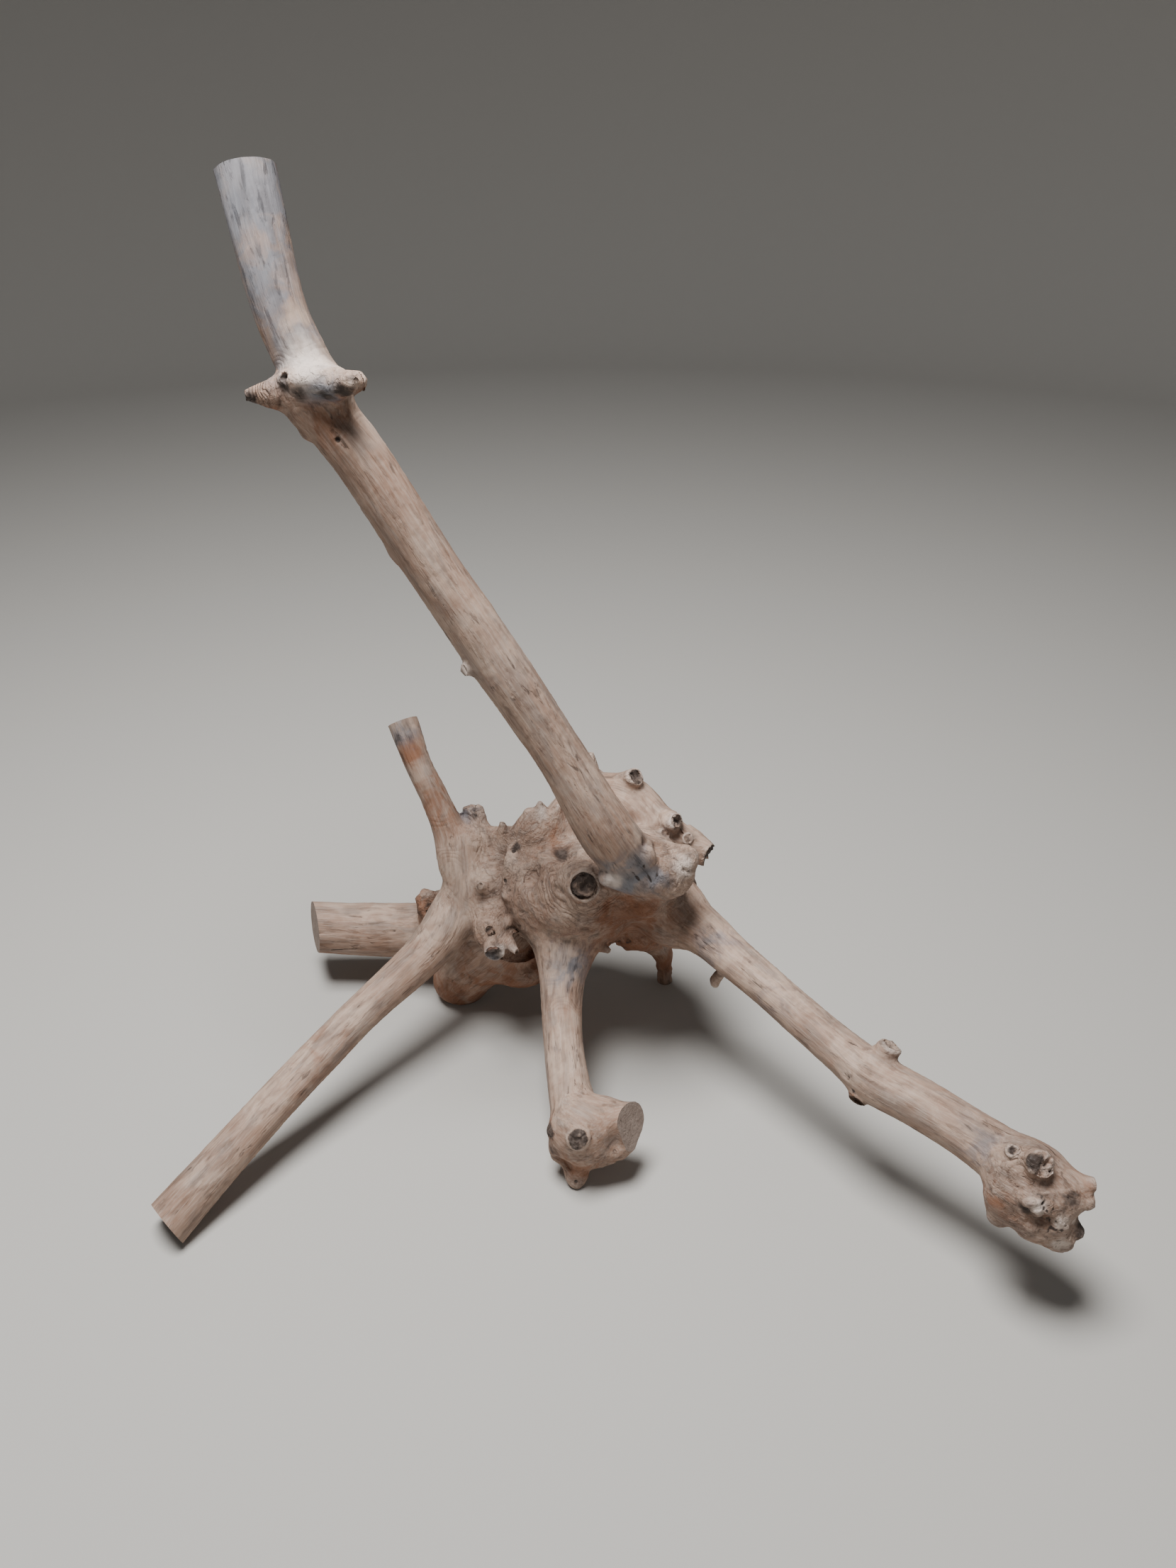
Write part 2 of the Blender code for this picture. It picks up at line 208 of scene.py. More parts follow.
# Broken branch stubs with a flat, ringed or rotten face.
# name: face centre, the way the face looks, radius, length of the stub, neck radius, how
# far its middle is sunk, how dark it is, and how rough.
STUBS = {
    "crown_eye": ((-3, 57.5, 189), (0.06, -0.83, 0.55), 11.4, 14, 18.5, 2.6, 0.70, 1.5),
    "ridge_top": ((38, 142, 233), (0.45, -0.45, 0.77), 7.0, 14, 12.0, 1.2, 0.8, 1.1),
    "ridge_disc": ((70, 114, 210), (0.45, -0.70, 0.55), 6.4, 12, 11.0, 0.5, 0.6, 0.5),
    "ridge_ring": ((60, 113, 199), (0.10, -0.84, 0.53), 3.8, 9, 7.0, 1.2, 0.5, 0.2),
    "ridge_knot": ((79, 113, 194), (0.35, -0.80, 0.50), 4.4, 9, 8.0, 0.4, 0.4, 0.9),
    "ridge_end": ((96, 117, 178), (0.80, -0.50, -0.33), 7.4, 14, 10.0, 1.0, 1.0, 1.6),
    "crown_dot": ((-78, 79, 130), (0.05, -0.86, 0.50), 4.0, 10, 7.0, 0.6, 0.6, 0.5),
    "crown_stub": ((-74, 65, 117), (0.06, -0.97, -0.10), 7.8, 14, 9.6, 0.4, 0.4, 0.8),
    "collar_eye": ((-180, 71, 555), (-0.20, -0.90, 0.38), 3.0, 12, 8.0, 1.2, 0.5, 0.3),
    "limb_twig": ((101, 65, 87), (-0.25, 0.30, -0.92), 4.0, 22, 5.6, 0.6, 0.3, 0.6),
    "limb_snag": ((213, -46, 128), (0.50, 0.18, 0.85), 7.6, 16, 12.0, 0.8, 0.6, 1.6),
    "limb_ring_a": ((184, -53, 106), (-0.30, -0.82, 0.48), 3.6, 9, 6.4, 0.9, 0.7, 0.3),
    "limb_ring_b": ((191, -53, 106), (0.05, -0.85, 0.52), 3.5, 9, 6.4, 0.8, 0.7, 0.3),
    "limb_ring_c": ((190, -56, 98), (-0.10, -0.93, 0.34), 4.4, 10, 7.4, 0.8, 0.8, 0.6),
    "foot_eye": ((-7, -67.5, 57), (0.02, -0.80, 0.60), 7.8, 14, 12.0, 0.0, 0.95, 1.2),
    "burl_ring": ((270, -138, 127), (-0.20, -0.60, 0.78), 3.6, 15, 5.0, 0.5, 0.95, 0.5),
    "burl_stub": ((283, -154, 132), (-0.05, -0.62, 0.78), 8.8, 24, 12.0, 0.0, 0.10, 2.0),
    "rear_scar": ((-40, 190, 128), (-0.30, 0.93, 0.20), 11.0, 16, 17.0, 1.6, 0.6, 1.0),
    "rear_scar_low": ((34, 171, 112), (0.42, 0.90, -0.10), 8.0, 14, 13.0, 1.2, 0.8, 1.2),
    "rear_scar_side": ((86, 128, 142), (0.86, 0.46, 0.20), 6.0, 14, 11.0, 0.9, 0.7, 0.8),
    "branch_scar": ((-112, 91, 452), (0.25, 0.92, 0.28), 6.4, 12, 11.0, 0.9, 0.6, 0.8),
}

# Hollows taken out of the crown and the far ends: (x, y, z), (radius x, y, z).
HOLLOWS = [
    ((-22, 106, 191), (13, 16, 12)),
    ((-33, 120, 203), (8, 10, 7)),
    ((-63, 116, 188), (10, 14, 12)),
    ((-66, 94, 166), (9, 12, 17)),
    ((-57, 72, 148), (8, 10, 17)),
    ((-30, 132, 212), (5, 12, 6)),
    ((34, 54, 163), (26, 15, 12)),
    ((80, 44, 204), (9, 13, 10)),
    ((56, 86, 226), (12, 12, 9)),
    ((52, 128, 226), (8, 8, 8)),
    ((-160, 61, 534), (20, 10, 9)),
    ((20, -66, 52), (5, 7, 13)),
    ((14, -70, 24), (12, 10, 6)),
    ((-20, -62, 22), (7, 8, 6)),
    ((-44, 91, 174), (8, 10, 13)),
    ((58, 52, 226), (11, 8, 5)),
    ((-66, 86, 140), (5, 8, 9)),
    ((284, -171, 121), (10, 7, 6)),
    ((270, -170, 104), (5, 6, 6)),
    ((307, -172, 92), (4, 6, 9)),
    ((283, -173, 98), (9, 6, 4)),
    ((317, -165, 93), (7, 8, 6)),
    ((-30, 160, 214), (16, 12, 12)),
    ((-72, 176, 150), (16, 12, 16)),
    ((8, 190, 150), (14, 12, 20)),
    ((66, 150, 168), (14, 12, 12)),
]

# Sawn ends: a point on the cut, the direction of the piece that falls away, and how brown
# the face has gone, from 0 to 1.
SAWN_ENDS = {
    "trunk_top": ((-202, 132, 660.5), (-0.17, 0.36, 0.92), 0.25),
    "upright_top": ((-150, 185, 259), (-0.34, 0.52, 0.78), 0.0),
    "back_stub_end": ((-243, 173, 57), (-0.93, -0.35, 0.10), 0.45),
    "left_leg_end": ((-298, -107, 15), (-0.70, -0.66, -0.27), 0.8),
    "side_branch_end": ((31.5, -49, 52.5), (0.76, -0.55, 0.35), 0.5),
}

# Drying cracks, knife nicks and folds of bark: where each runs from and to, its width, its
# depth and how dark it is.
CRACKS = [
    ((-238, 152, 66), (-168, 151, 70), 0.8, 2.4, 0.9),
    ((-226, 152, 47), (-196, 151, 50), 0.6, 1.2, 0.8),
    ((-180, 28, 92), (-174, 40, 93), 0.6, 1.2, 0.6),
    ((-189, 32, 86), (-180, 20, 90), 0.6, 1.2, 0.6),
    ((-228, -22, 66), (-236, -8, 62), 0.6, 1.2, 0.6),
    ((-186, 84, 640), (-180, 78, 604), 0.6, 0.7, 0.4),
    ((150, -12, 130), (196, -44, 121), 0.6, 1.0, 0.6),
    ((218, -70, 121), (262, -112, 118), 0.6, 1.0, 0.6),
    ((14, 36, 232), (40, 46, 236), 2.6, 4.0, 0.15),
    ((40, 46, 236), (72, 68, 224), 2.6, 3.6, 0.15),
    ((2, 52, 222), (20, 84, 206), 2.2, 3.0, 0.3),
    ((30, 34, 222), (38, 38, 208), 0.9, 1.6, 0.8),
    ((40, 38, 222), (46, 40, 206), 0.9, 1.6, 0.8),
    ((52, 50, 222), (50, 42, 210), 1.0, 1.8, 0.6),
    ((62, 60, 219), (70, 56, 206), 1.4, 2.0, 0.4),
    ((18, -62, 66), (26, -66, 44), 1.4, 2.0, 0.35),
]

# Beetle holes: mouth of each hole, its radius and its depth.
PIN_HOLES = [
    ((-152, 68, 519), 1.3, 3.5), ((-131, 155, 222), 1.1, 3.0), ((127, 21, 108), 2.6, 2.2),
    ((-292, -92, 31), 3.4, 2.6), ((-9, -68, 10), 2.0, 4.0), ((26, -58, 44), 1.6, 2.0),
    ((10, -54, 62), 1.6, 1.6), ((-60, 120, 178), 1.8, 4.0), ((-66, 106, 158), 1.4, 3.0),
    ((-47, 88, 168), 1.0, 2.0), ((14, 44, 214), 1.2, 2.4), ((-70, 104, 172), 1.0, 2.0),
    ((36, 44, 196), 1.2, 2.2), ((-20, 60, 168), 1.0, 2.0),
]

# Where the skin carries fine detail and so gets a finer mesh: centre and reach.
FINE_ZONES = [
    ((-2, 100, 150), 98), ((-166, 82, 546), 38), ((-2, -50, 40), 38), ((286, -148, 100), 42),
    ((198, -50, 108), 24),
]

# Small folds that ring a knot or a limb's base: centre, inner and outer reach, spacing of
# the folds and their height.
FOLDS = [
    ((-3, 60, 187), 12, 54, 6.4, 1.0),
    ((-18, 62, 92), 24, 52, 6.0, 0.9),
    ((-116, 106, 110), 16, 46, 6.4, 0.8),
    ((-110, 142, 172), 10, 40, 5.6, 0.9),
    ((92, 76, 130), 16, 42, 6.2, 0.8),
    ((34, 76, 204), 20, 46, 6.6, 0.7),
    ((-170, 90, 536), 12, 42, 5.0, 0.7),
    ((-212, 78, 543), 6, 32, 4.4, 0.45),
    ((-6, -50, 44), 9, 32, 6.0, 0.6),
    ((284, -144, 104), 9, 36, 6.0, 0.9),
    ((200, -50, 106), 8, 24, 4.6, 0.5),
    ((30, 140, 186), 10, 56, 7.0, 0.7),
    ((-70, 130, 120), 12, 52, 7.4, 0.6),
    ((-40, 192, 128), 13, 48, 6.6, 0.9),
    ((-90, 150, 60), 12, 56, 7.0, 0.6),
]

# Stains: centre, reach and strength. First the blue-grey ones that mould leaves; the two high on
# the long branch, 610 and 650 mm up, are painted cool light.
BLUE_STAINS_AND_COOL_LIGHT = [
    ((26, 44, 214), 26, 0.9), ((44, 42, 206), 20, 0.7), ((-16, 58, 112), 26, 0.6),
    ((-158, 64, 549), 14, 0.9), ((-190, 96, 610), 38, 0.75), ((-176, 84, 570), 26, 0.65),
    ((-198, 112, 650), 38, 0.92), ((-150, 176, 252), 16, 0.7), ((-74, 64, 112), 12, 0.7),
    ((-20, 4, 66), 26, 0.3), ((100, 56, 132), 22, 0.5), ((-98, 156, 186), 14, 0.6),
    ((60, 112, 204), 18, 0.35), ((-50, 60, 360), 40, 0.25), ((140, 10, 122), 30, 0.3),
    ((262, -118, 110), 24, 0.4),
]
# Warm heartwood and old bark stain; the broad low ones under the crown are painted warm shade.
AMBER_STAINS_AND_SHADE = [
    ((262, -152, 94), 18, 0.45), ((314, -149, 114), 12, 0.5), ((30, 70, 150), 34, 0.75),
    ((-10, 84, 128), 30, 0.5), ((-160, 62, 528), 18, 0.7), ((-143, 168, 240), 15, 0.95),
    ((-124, 152, 206), 30, 0.50), ((-130, 136, 14), 46, 0.8), ((-60, 120, 30), 60, 0.75),
    ((16, 96, 108), 46, 0.7), ((40, 140, 90), 50, 0.8), ((70, 157, 30), 34, 0.8),
    ((-145, 146, 100), 20, 0.6), ((-6, -50, 24), 24, 0.75), ((-26, -44, 40), 18, 0.6),
    ((284, -150, 82), 26, 0.35), ((-30, 120, 190), 24, 0.45), ((-30, 190, 100), 60, 0.45),
    ((-210, 10, 52), 40, 0.35), ((-158, 64, 590), 26, 0.25),
]
# Nearly black wood.
SOOT_STAINS = [
    ((-143, 61, 549), 7, 0.75), ((-155, 63, 545), 6, 0.5), ((-171, 68, 547), 6, 0.45),
    ((-180, 71, 551), 5, 0.5), ((-139, 61, 556), 5, 0.5), ((302, -162, 111), 9, 0.5),
    ((272, -166, 104), 5, 0.6), ((-203, 78, 541), 6, 0.75), ((-93, 156, 186), 7, 0.8),
    ((277, -152, 133), 6.0, 1.0), ((312, -164, 84), 7, 0.85), ((304, -166, 70), 5, 0.7),
    ((321, -152, 113), 4, 0.8), ((318, -157, 101), 5, 0.6), ((-150, 176, 250), 10, 0.5),
    ((-57, 124, 178), 6, 0.60), ((-26, -52, 48), 6, 0.85), ((-23, -56, 35), 6, 0.75),
    ((-24, -54, 42), 4, 0.6), ((-20, 110, 180), 12, 0.45), ((98, 116, 178), 8, 0.6),
    ((-42, 66, 118), 10, 0.3), ((20, 104, 92), 22, 0.35), ((-146, 146, 98), 9, 0.45),
]
# Where the whole skin is browner and duller: partly brown wood, partly painted shade at the feet
# and round the crown.
BROWN_STAINS_AND_SHADE = [
    ((284, -150, 98), 36, 0.85), ((268, -160, 90), 24, 0.95), ((300, -158, 88), 18, 0.55),
    ((-284, -90, 24), 44, 0.40), ((-4, -52, 30), 26, 0.50), ((-96, 138, 44), 50, 0.35),
    ((22, 78, 146), 36, 0.60), ((-36, 98, 172), 22, 0.55), ((-60, 104, 150), 18, 0.45),
    ((-30, 130, 186), 14, 0.40), ((-160, 66, 526), 22, 0.55), ((-122, 152, 206), 30, 0.35),
    ((30, 120, 100), 40, 0.55), ((-232, 160, 52), 30, 0.25), ((-120, 82, 470), 30, 0.25),
    ((236, -92, 92), 26, 0.25), ((60, 104, 196), 16, 0.30),
]
# Bleached wood.
PALE_STAINS = [
    ((289, -158, 130), 6, 0.6), ((279, -168, 112), 7, 0.75), ((298, -171, 98), 8, 0.7),
    ((299, -173, 80), 9, 0.7), ((304, -164, 94), 6, 0.7), ((-152, 182, 258), 10, 0.9),
    ((0, 158, 232), 10, 0.8), ((-36, 134, 204), 10, 0.6), ((18, 34, 214), 10, 0.8),
    ((-66, 66, 118), 8, 0.7), ((72, 58, 206), 12, 0.7), ((-165, 74, 564), 20, 0.9),
    ((66, 112, 214), 14, 0.6), ((-82, 53, 371), 9, 0.8), ((-86, 58, 130), 14, 0.5),
]

# Where the wood has rotted soft and broken away in chunks: centre, reach and how rotten.
ROTTEN = [
    ((280, -167, 112), 11, 1.0), ((298, -171, 90), 17, 1.0), ((285, -156, 132), 8, 0.7),
    ((-139, 142, 106), 13, 0.8), ((-93, 156, 188), 10, 0.9), ((24, 126, 84), 22, 0.8),
    ((316, -156, 104), 9, 0.6), ((-22, -54, 42), 8, 0.8), ((-146, 66, 550), 9, 0.6),
    ((70, 165, 14), 12, 0.6), ((72, 52, 200), 14, 0.5), ((-30, 188, 84), 24, 0.6),
]

# Where the crown has grown smooth: centre, reach and how smooth.
CALM = [
    ((-40, 134, 192), 22, 1.0), ((40, 78, 150), 34, 0.7), ((30, 40, 216), 20, 0.4),
    ((-4, -50, 44), 34, 0.8), ((-120, 140, 40), 40, 0.7), ((-166, 76, 556), 16, 0.7),
    ((0, 60, 190), 18, 0.7), ((-100, 130, 165), 16, 0.4), ((262, -124, 112), 20, 0.6),
]

# How the wood is shaped from those lists. Lengths are in millimetres.
STATIONS_PER_SPAN = 16    # along a path, from one listed place to the next
RING_SIDES = 20           # of the rough shapes that are melted together
LIMB_BLEND = 9.0          # how softly limbs and lumps run together
SNAG_BLEND = 4.0          # how softly snags and stubs do
HOLLOW_BLEND = 6.0        # how softly a hollow's edge turns
FACE_BLEND = 1.6          # how softly a stub's flat face turns into its side
BOWL_BLEND = 0.9          # how softly the rim of its sunk middle turns
CROWN_GAP = (3.0, 10.0)   # how far past a limb's bark the crown's burl begins and is full
GRAIN_BLEND = 7.0         # how far the grain of one limb reaches into the next
GRAIN_REACH = 70.0        # past this a limb's grain counts for nothing
LONGEST_STEP = 3.0        # of a point on its way to the surface
NO_LIMIT = 1000.0         # longer than any edge or gap
ROWS_AT_ONCE = 16000      # points worked on at a time, to keep the arrays small
SAW_REACH = 44.0          # how far round its middle a saw cut works
SNAP = 0.25               # points this near a cut are moved onto it
END_RINGS = 14            # rings of faces on a sawn end
RECESS_STEPS = ((5.0, 0.4), (12.0, 0.6))   # how far out a recess is felt for, and its share

# The relief's noise: how large its marks are, along the grain and across it where two
# sizes are given. Each kind has its own seed.
SWELL_SIZE = (80, 19)
GRAIN_SIZE = (36, 4.2)
GROOVE_SIZE = (26, 3.0)
BURL_SIZE = 26.0
RIDGE_SIZE = (16.0, 16.0, 12.0)
PIT_SIZE = 5.4
RASP_SIZE = 2.6
CHUNK_SIZE = 7.0
WARP_SIZE, WARP = 15.0, 5.0            # slow noise that moves ridges, pits and chunks aside
SWAY_SIZE, SWAY = 19.0, 1.1            # how folds wander, in turns
FINER_FOLDS = 1.6                      # folds in the material for each modelled one
PATCH_SIZE = 12.0                      # of the stretches where folds come and go
BREAK_SIZE = 3.4                       # of the broken wood on a stub's face
WELT_SIZE = 5.0                        # of the lumps on a stub's rim
STUB_RING = 2.6                        # from one growth ring to the next on a stub's face
SAW_RIPPLE = 2.4                       # the saw's ripple, in radians per millimetre
SEEDS = {
    "swell": 11, "grain": 21, "groove": 31, "burl": 41, "warp": (51, 52, 53), "ridge": 61,
    "pit": 71, "rasp": 81, "fold": 90, "patch": 120, "ring": 150, "break": 160,
    "blotch": 170, "chunk": 181, "welt": 190, "saw": 200,
}


# ---------------------------------------------------------------------------------------
# Numbers: noise, paths and the parts of the wood.

def eased(low, high, values):
    """A smooth step: 0 below low, 1 above high, and 3t^2 - 2t^3 between."""
    t = np.clip((values - low) / (high - low), 0.0, 1.0)
    return t * t * (3.0 - 2.0 * t)


def lengths(vectors):
    """The length of each row."""
    return np.sqrt(np.einsum("ij,ij->i", vectors, vectors))


def unit(vector):
    """The vector divided by its length."""
    vector = np.asarray(vector, float)
    return vector / np.linalg.norm(vector)


def from_line(points, start, end):
    """How far each point is from the line between two places."""
    start, run = np.array(start, float), np.subtract(end, start).astype(float)
    share = np.clip((points - start) @ run / (run @ run), 0.0, 1.0)
    return lengths(points - start - share[:, None] * run)


def side_axes(looks):
    """Two axes across a direction: its cross product with the coordinate axis that is
    furthest from it, made unit, and the cross product of the two."""
    side = unit(np.cross(looks, np.eye(3)[np.argmin(np.abs(looks))]))
    return side, np.cross(looks, side)


def turns_of(sides):
    """Equal turns round a circle, the last short of the first."""
    return np.linspace(0, 2 * np.pi, sides, endpoint=False)


# Large odd numbers that scatter the bits of a whole point's number.
AXIS_MIXERS = np.array([73856093, 19349663, 83492791])
SEED_MIXER, FIRST_MIXER, SECOND_MIXER = 2654435761, 1274126177, 2246822519


def lattice_noise(points, seed):
    """Noise from -1 to 1: a random value on each whole point, eased between the eight
    round a place by 6t^5 - 15t^4 + 10t^3."""
    cell = np.floor(points).astype(np.int64)
    part = points - cell
    part = part * part * part * (part * (part * 6.0 - 15.0) + 10.0)
    total = np.zeros(len(points))
    for corner in range(8):
        step = np.array([corner & 1, corner >> 1 & 1, corner >> 2 & 1])
        key = (cell + step) * AXIS_MIXERS
        mixed = key[:, 0] ^ key[:, 1] ^ key[:, 2] ^ (seed * SEED_MIXER)
        mixed = (mixed ^ (mixed >> 13)) * FIRST_MIXER
        mixed = (mixed ^ (mixed >> 15)) * SECOND_MIXER
        value = ((mixed >> 7) & 0xFFFF) / 32767.5 - 1.0      # 16 of its bits, from -1 to 1
        share = np.where(step == 1, part, 1.0 - part).prod(axis=1)
        total += value * share
    return total


def layered_noise(points, seed, layers=3, rough=0.5):
    """Noise added to itself at twice the fineness and rough times the height, and so on."""
    total = np.zeros(len(points))
    height = 1.0
    for layer in range(layers):
        total += height * lattice_noise(points * 2.0 ** layer + 17.3 * layer, seed + layer)
        height *= rough
    return total


def smooth_path(points):
    """A Catmull-Rom curve: between neighbours a cubic whose slope at each point comes from
    the points on both sides of it. The radius is carried along in the same way."""
    given = np.array(points, float)
    chain = np.vstack([2 * given[0] - given[1], given, 2 * given[-1] - given[-2]])
    t = np.linspace(0, 1, STATIONS_PER_SPAN, endpoint=False)[None, :, None]
    a, b, c, d = (chain[k:len(chain) - 3 + k, None, :] for k in range(4))
    curve = 0.5 * (
        2 * b + (c - a) * t + (2 * a - 5 * b + 4 * c - d) * t ** 2
        + (3 * b - a - 3 * c + d) * t ** 3
    )
    return np.vstack([curve.reshape(-1, given.shape[1]), given[-1]])


def ball_field(k, slope):
    """The gap to a stretched ball, k(k - 1) / g, and the way out of it: k is the length of
    the place measured in radii and g that of the slope, the place over the radii squared."""
    g = np.maximum(lengths(slope), 1e-9)
    return k * (k - 1.0) / g, slope / g[:, None]


class Limb:
    """A round limb: balls strung closely along a smooth path, with the run along it and
    two side axes, each a fixed direction less its part along the path."""

    def __init__(self, points, blend):
        stations = smooth_path(points)
        self.place = stations[:, :3]
        self.radius = stations[:, 3]
        self.blend = blend
        self.along = np.gradient(self.place, axis=0)
        self.along /= lengths(self.along)[:, None]
        self.run = np.append(0.0, np.cumsum(lengths(np.diff(self.place, axis=0))))
        fixed = np.eye(3)[np.argmin(np.abs(self.place[-1] - self.place[0]))]
        self.side = fixed - (self.along @ fixed)[:, None] * self.along
        self.side /= lengths(self.side)[:, None]
        self.up = np.cross(self.along, self.side)

    def near(self, points, margin):
        """Which points lie in the limb's box, grown by the margin."""
        reach = self.radius.max() + margin
        low, high = self.place.min(axis=0) - reach, self.place.max(axis=0) + reach
        return np.all((points > low) & (points < high), axis=1)

    def nearest(self, points):
        """For each point, the ball whose skin is nearest, and the gap to it."""
        best = np.empty(len(points), int)
        gap = np.empty(len(points))
        for start in range(0, len(points), ROWS_AT_ONCE):
            some = points[start:start + ROWS_AT_ONCE]
            squares = (
                (some ** 2).sum(axis=1)[:, None] + (self.place ** 2).sum(axis=1)[None, :]
                - 2.0 * some @ self.place.T
            )
            gaps = np.sqrt(np.maximum(squares, 0.0)) - self.radius[None, :]
            chosen = gaps.argmin(axis=1)
            best[start:start + ROWS_AT_ONCE] = chosen
            gap[start:start + ROWS_AT_ONCE] = gaps[np.arange(len(some)), chosen]
        return best, gap

    def field(self, points):
        """The gap to the nearest ball's skin, and the way out from its middle."""
        index, gap = self.nearest(points)
        out = points - self.place[index]
        return gap, out / np.maximum(lengths(out), 1e-6)[:, None]

    def seed(self):
        """A ring of points round each station, radius * (cos a * side + sin a * up), with a
        flat end on the first and the last."""
        turn = turns_of(RING_SIDES)
        ring = (
            np.cos(turn)[None, :, None] * self.side[:, None, :]
            + np.sin(turn)[None, :, None] * self.up[:, None, :]
        )
        points = self.place[:, None, :] + self.radius[:, None, None] * ring
        return grid_tube(points)


class Lump:
    """A swelling: a ball stretched to three radii."""

    def __init__(self, centre, radii):
        self.centre = np.array(centre, float)
        self.radii = np.array(radii, float)
        self.blend = LIMB_BLEND

    def near(self, points, margin):
        """Which points lie in the ball's box, grown by the margin."""
        return np.all(np.abs(points - self.centre) < self.radii + margin, axis=1)

    def field(self, points):
        """The gap to the ball and the way out of it."""
        place = points - self.centre
        return ball_field(lengths(place / self.radii), place / self.radii ** 2)

    def seed(self):
        """Rings round the upright axis, their radius sin of the tilt, their height its cos."""
        tilt = np.linspace(0.12, np.pi - 0.12, 14)[:, None]
        turn = turns_of(RING_SIDES)[None, :]
        ball = np.stack([
            np.sin(tilt) * np.cos(turn), np.sin(tilt) * np.sin(turn),
            np.cos(tilt) + 0 * turn,
        ], axis=2)
        return grid_tube(self.centre + self.radii * ball[::-1])


class Stub:
    """A broken branch stub: a cone that ends in a flat face, with a bowl sunk in it."""

    def __init__(self, face, looks, radius, length, neck, sunk, dark, rough):
        self.face = np.array(face, float)
        self.looks = unit(looks)
        self.radius, self.length, self.neck = radius, length, neck
        self.sunk, self.dark, self.rough = sunk, dark, rough
        self.blend = SNAG_BLEND
        self.side, self.up = side_axes(self.looks)

    def near(self, points, margin):
        """Which points lie in a box round the stub, grown by the margin."""
        reach = self.length + self.neck + margin
        return np.all(np.abs(points - self.face) < reach, axis=1)

    def local(self, points):
        """Each point's height over the face, its distance from the stub's axis, and the
        direction away from that axis."""
        place = points - self.face
        height = place @ self.looks
        flat = place - height[:, None] * self.looks
        across = lengths(flat)
        return height, across, flat / np.maximum(across, 1e-6)[:, None]

    def field(self, points):
        """The larger of the gap to the cone and the height over the face, smoothed."""
        height, across, away = self.local(points)
        back = np.clip(-height / self.length, 0.0, 1.0)
        cone = across - (self.radius + (self.neck - self.radius) * back)
        behind = -height - self.length - self.neck
        side = np.maximum(cone, behind)
        gap, out = smooth_least(
            -side, -away, -height, np.tile(-self.looks, (len(points), 1)), FACE_BLEND)
        return -gap, -out

    def bowl(self, points):
        """A stretched ball on the face that is taken out of the wood."""
        height, across, away = self.local(points)
        wide, deep = 0.84 * self.radius, self.sunk + 0.3
        slope = (
            (across / wide ** 2)[:, None] * away + (height / deep ** 2)[:, None] * self.looks
        )
        return ball_field(np.sqrt((across / wide) ** 2 + (height / deep) ** 2), slope)

    def seed(self):
        """Rings along the axis from the neck to the face."""
        back = np.linspace(1.0, 0.0, 5)[:, None, None]
        turn = turns_of(RING_SIDES)[None, :, None]
        radius = self.radius + (self.neck - self.radius) * back
        ring = np.cos(turn) * self.side + np.sin(turn) * self.up
        return grid_tube(self.face - back * self.length * self.looks + radius * ring)


def smooth_least(a, slope_a, b, slope_b, blend):
    """The smaller of two fields, rounded where they are within blend of each other: the
    mix less blend * mix * (1 - mix). The slopes are mixed in the same way."""
    mix = np.clip(0.5 + 0.5 * (b - a) / blend, 0.0, 1.0)
    least = b + (a - b) * mix - blend * mix * (1.0 - mix)
    return least, slope_b + (slope_a - slope_b) * mix[:, None]


def grid_tube(points):
    """A grid of rings (stations, sides, 3) as points and faces, closed at both ends."""
    stations, sides = points.shape[:2]
    index = np.arange(stations * sides).reshape(stations, sides)
    onward = np.roll(index, -1, axis=1)
    quads = np.stack([index[:-1], onward[:-1], onward[1:], index[1:]], axis=2)
    faces = quads.reshape(-1, 4).tolist()
    faces.append(index[0][::-1].tolist())
    faces.append(index[-1].tolist())
    return points.reshape(-1, 3), faces


# ---------------------------------------------------------------------------------------
# The skin: one mesh, pulled onto the smooth union of every part.

# The columns of the skin's rows: place, then one value of each kind.
PLACE = slice(0, 3)
DARK, LIGHT_RIM, PITTED, TURNS, FOLDED, BENT, SHUT = range(3, 10)
CUT, CUT_X, CUT_Y, TONE, EDGE = range(10, 15)


def grown_parts():
    """The limbs, lumps, snags and stubs of the root, made from their lists."""
    limbs = {name: Limb(points, LIMB_BLEND) for name, points in LIMBS.items()}
    lumps = [Lump(centre, radii) for centre, radii in LUMPS]
    snags = [
        Limb([(*root, thick), (*tip, thin)], SNAG_BLEND) for root, tip, thick, thin in SNAGS
    ]
    stubs = {name: Stub(*values) for name, values in STUBS.items()}
    return limbs, lumps, snags, stubs


def wood_field(points, parts, stubs, hollows):
    """The gap from each point to the wood, and the way out of it: every part in turn is
    joined by the smoothed minimum, and then the hollows and the stubs' bowls go."""
    gap = np.full(len(points), NO_LIMIT)
    out = np.zeros_like(points)
    for part in parts:
        near = part.near(points, part.blend + 8.0)
        if near.any():
            gap[near], out[near] = smooth_least(
                gap[near], out[near], *part.field(points[near]), part.blend)
    taken = [(hollow.near, hollow.field, HOLLOW_BLEND, HOLLOW_BLEND) for hollow in hollows]
    taken += [(stub.near, stub.bowl, 0.0, BOWL_BLEND) for stub in stubs.values() if stub.sunk]
    for near_by, shape, margin, blend in taken:
        near = near_by(points, margin)
        if near.any():
            hollow, slope = shape(points[near])
            kept, turned = smooth_least(-gap[near], -out[near], hollow, slope, blend)
            gap[near], out[near] = -kept, -turned
    return gap, out


def settled(points, growth, rounds):
    """Newton's steps towards the surface: each point moves by gap / slope^2 along the
    slope, with the gap kept within the longest step."""
    for _ in range(rounds):
        gap, out = wood_field(points, *growth)
        steep = np.maximum((out ** 2).sum(axis=1), 0.2)
        points = points - (np.clip(gap, -LONGEST_STEP, LONGEST_STEP) / steep)[:, None] * out
    return points


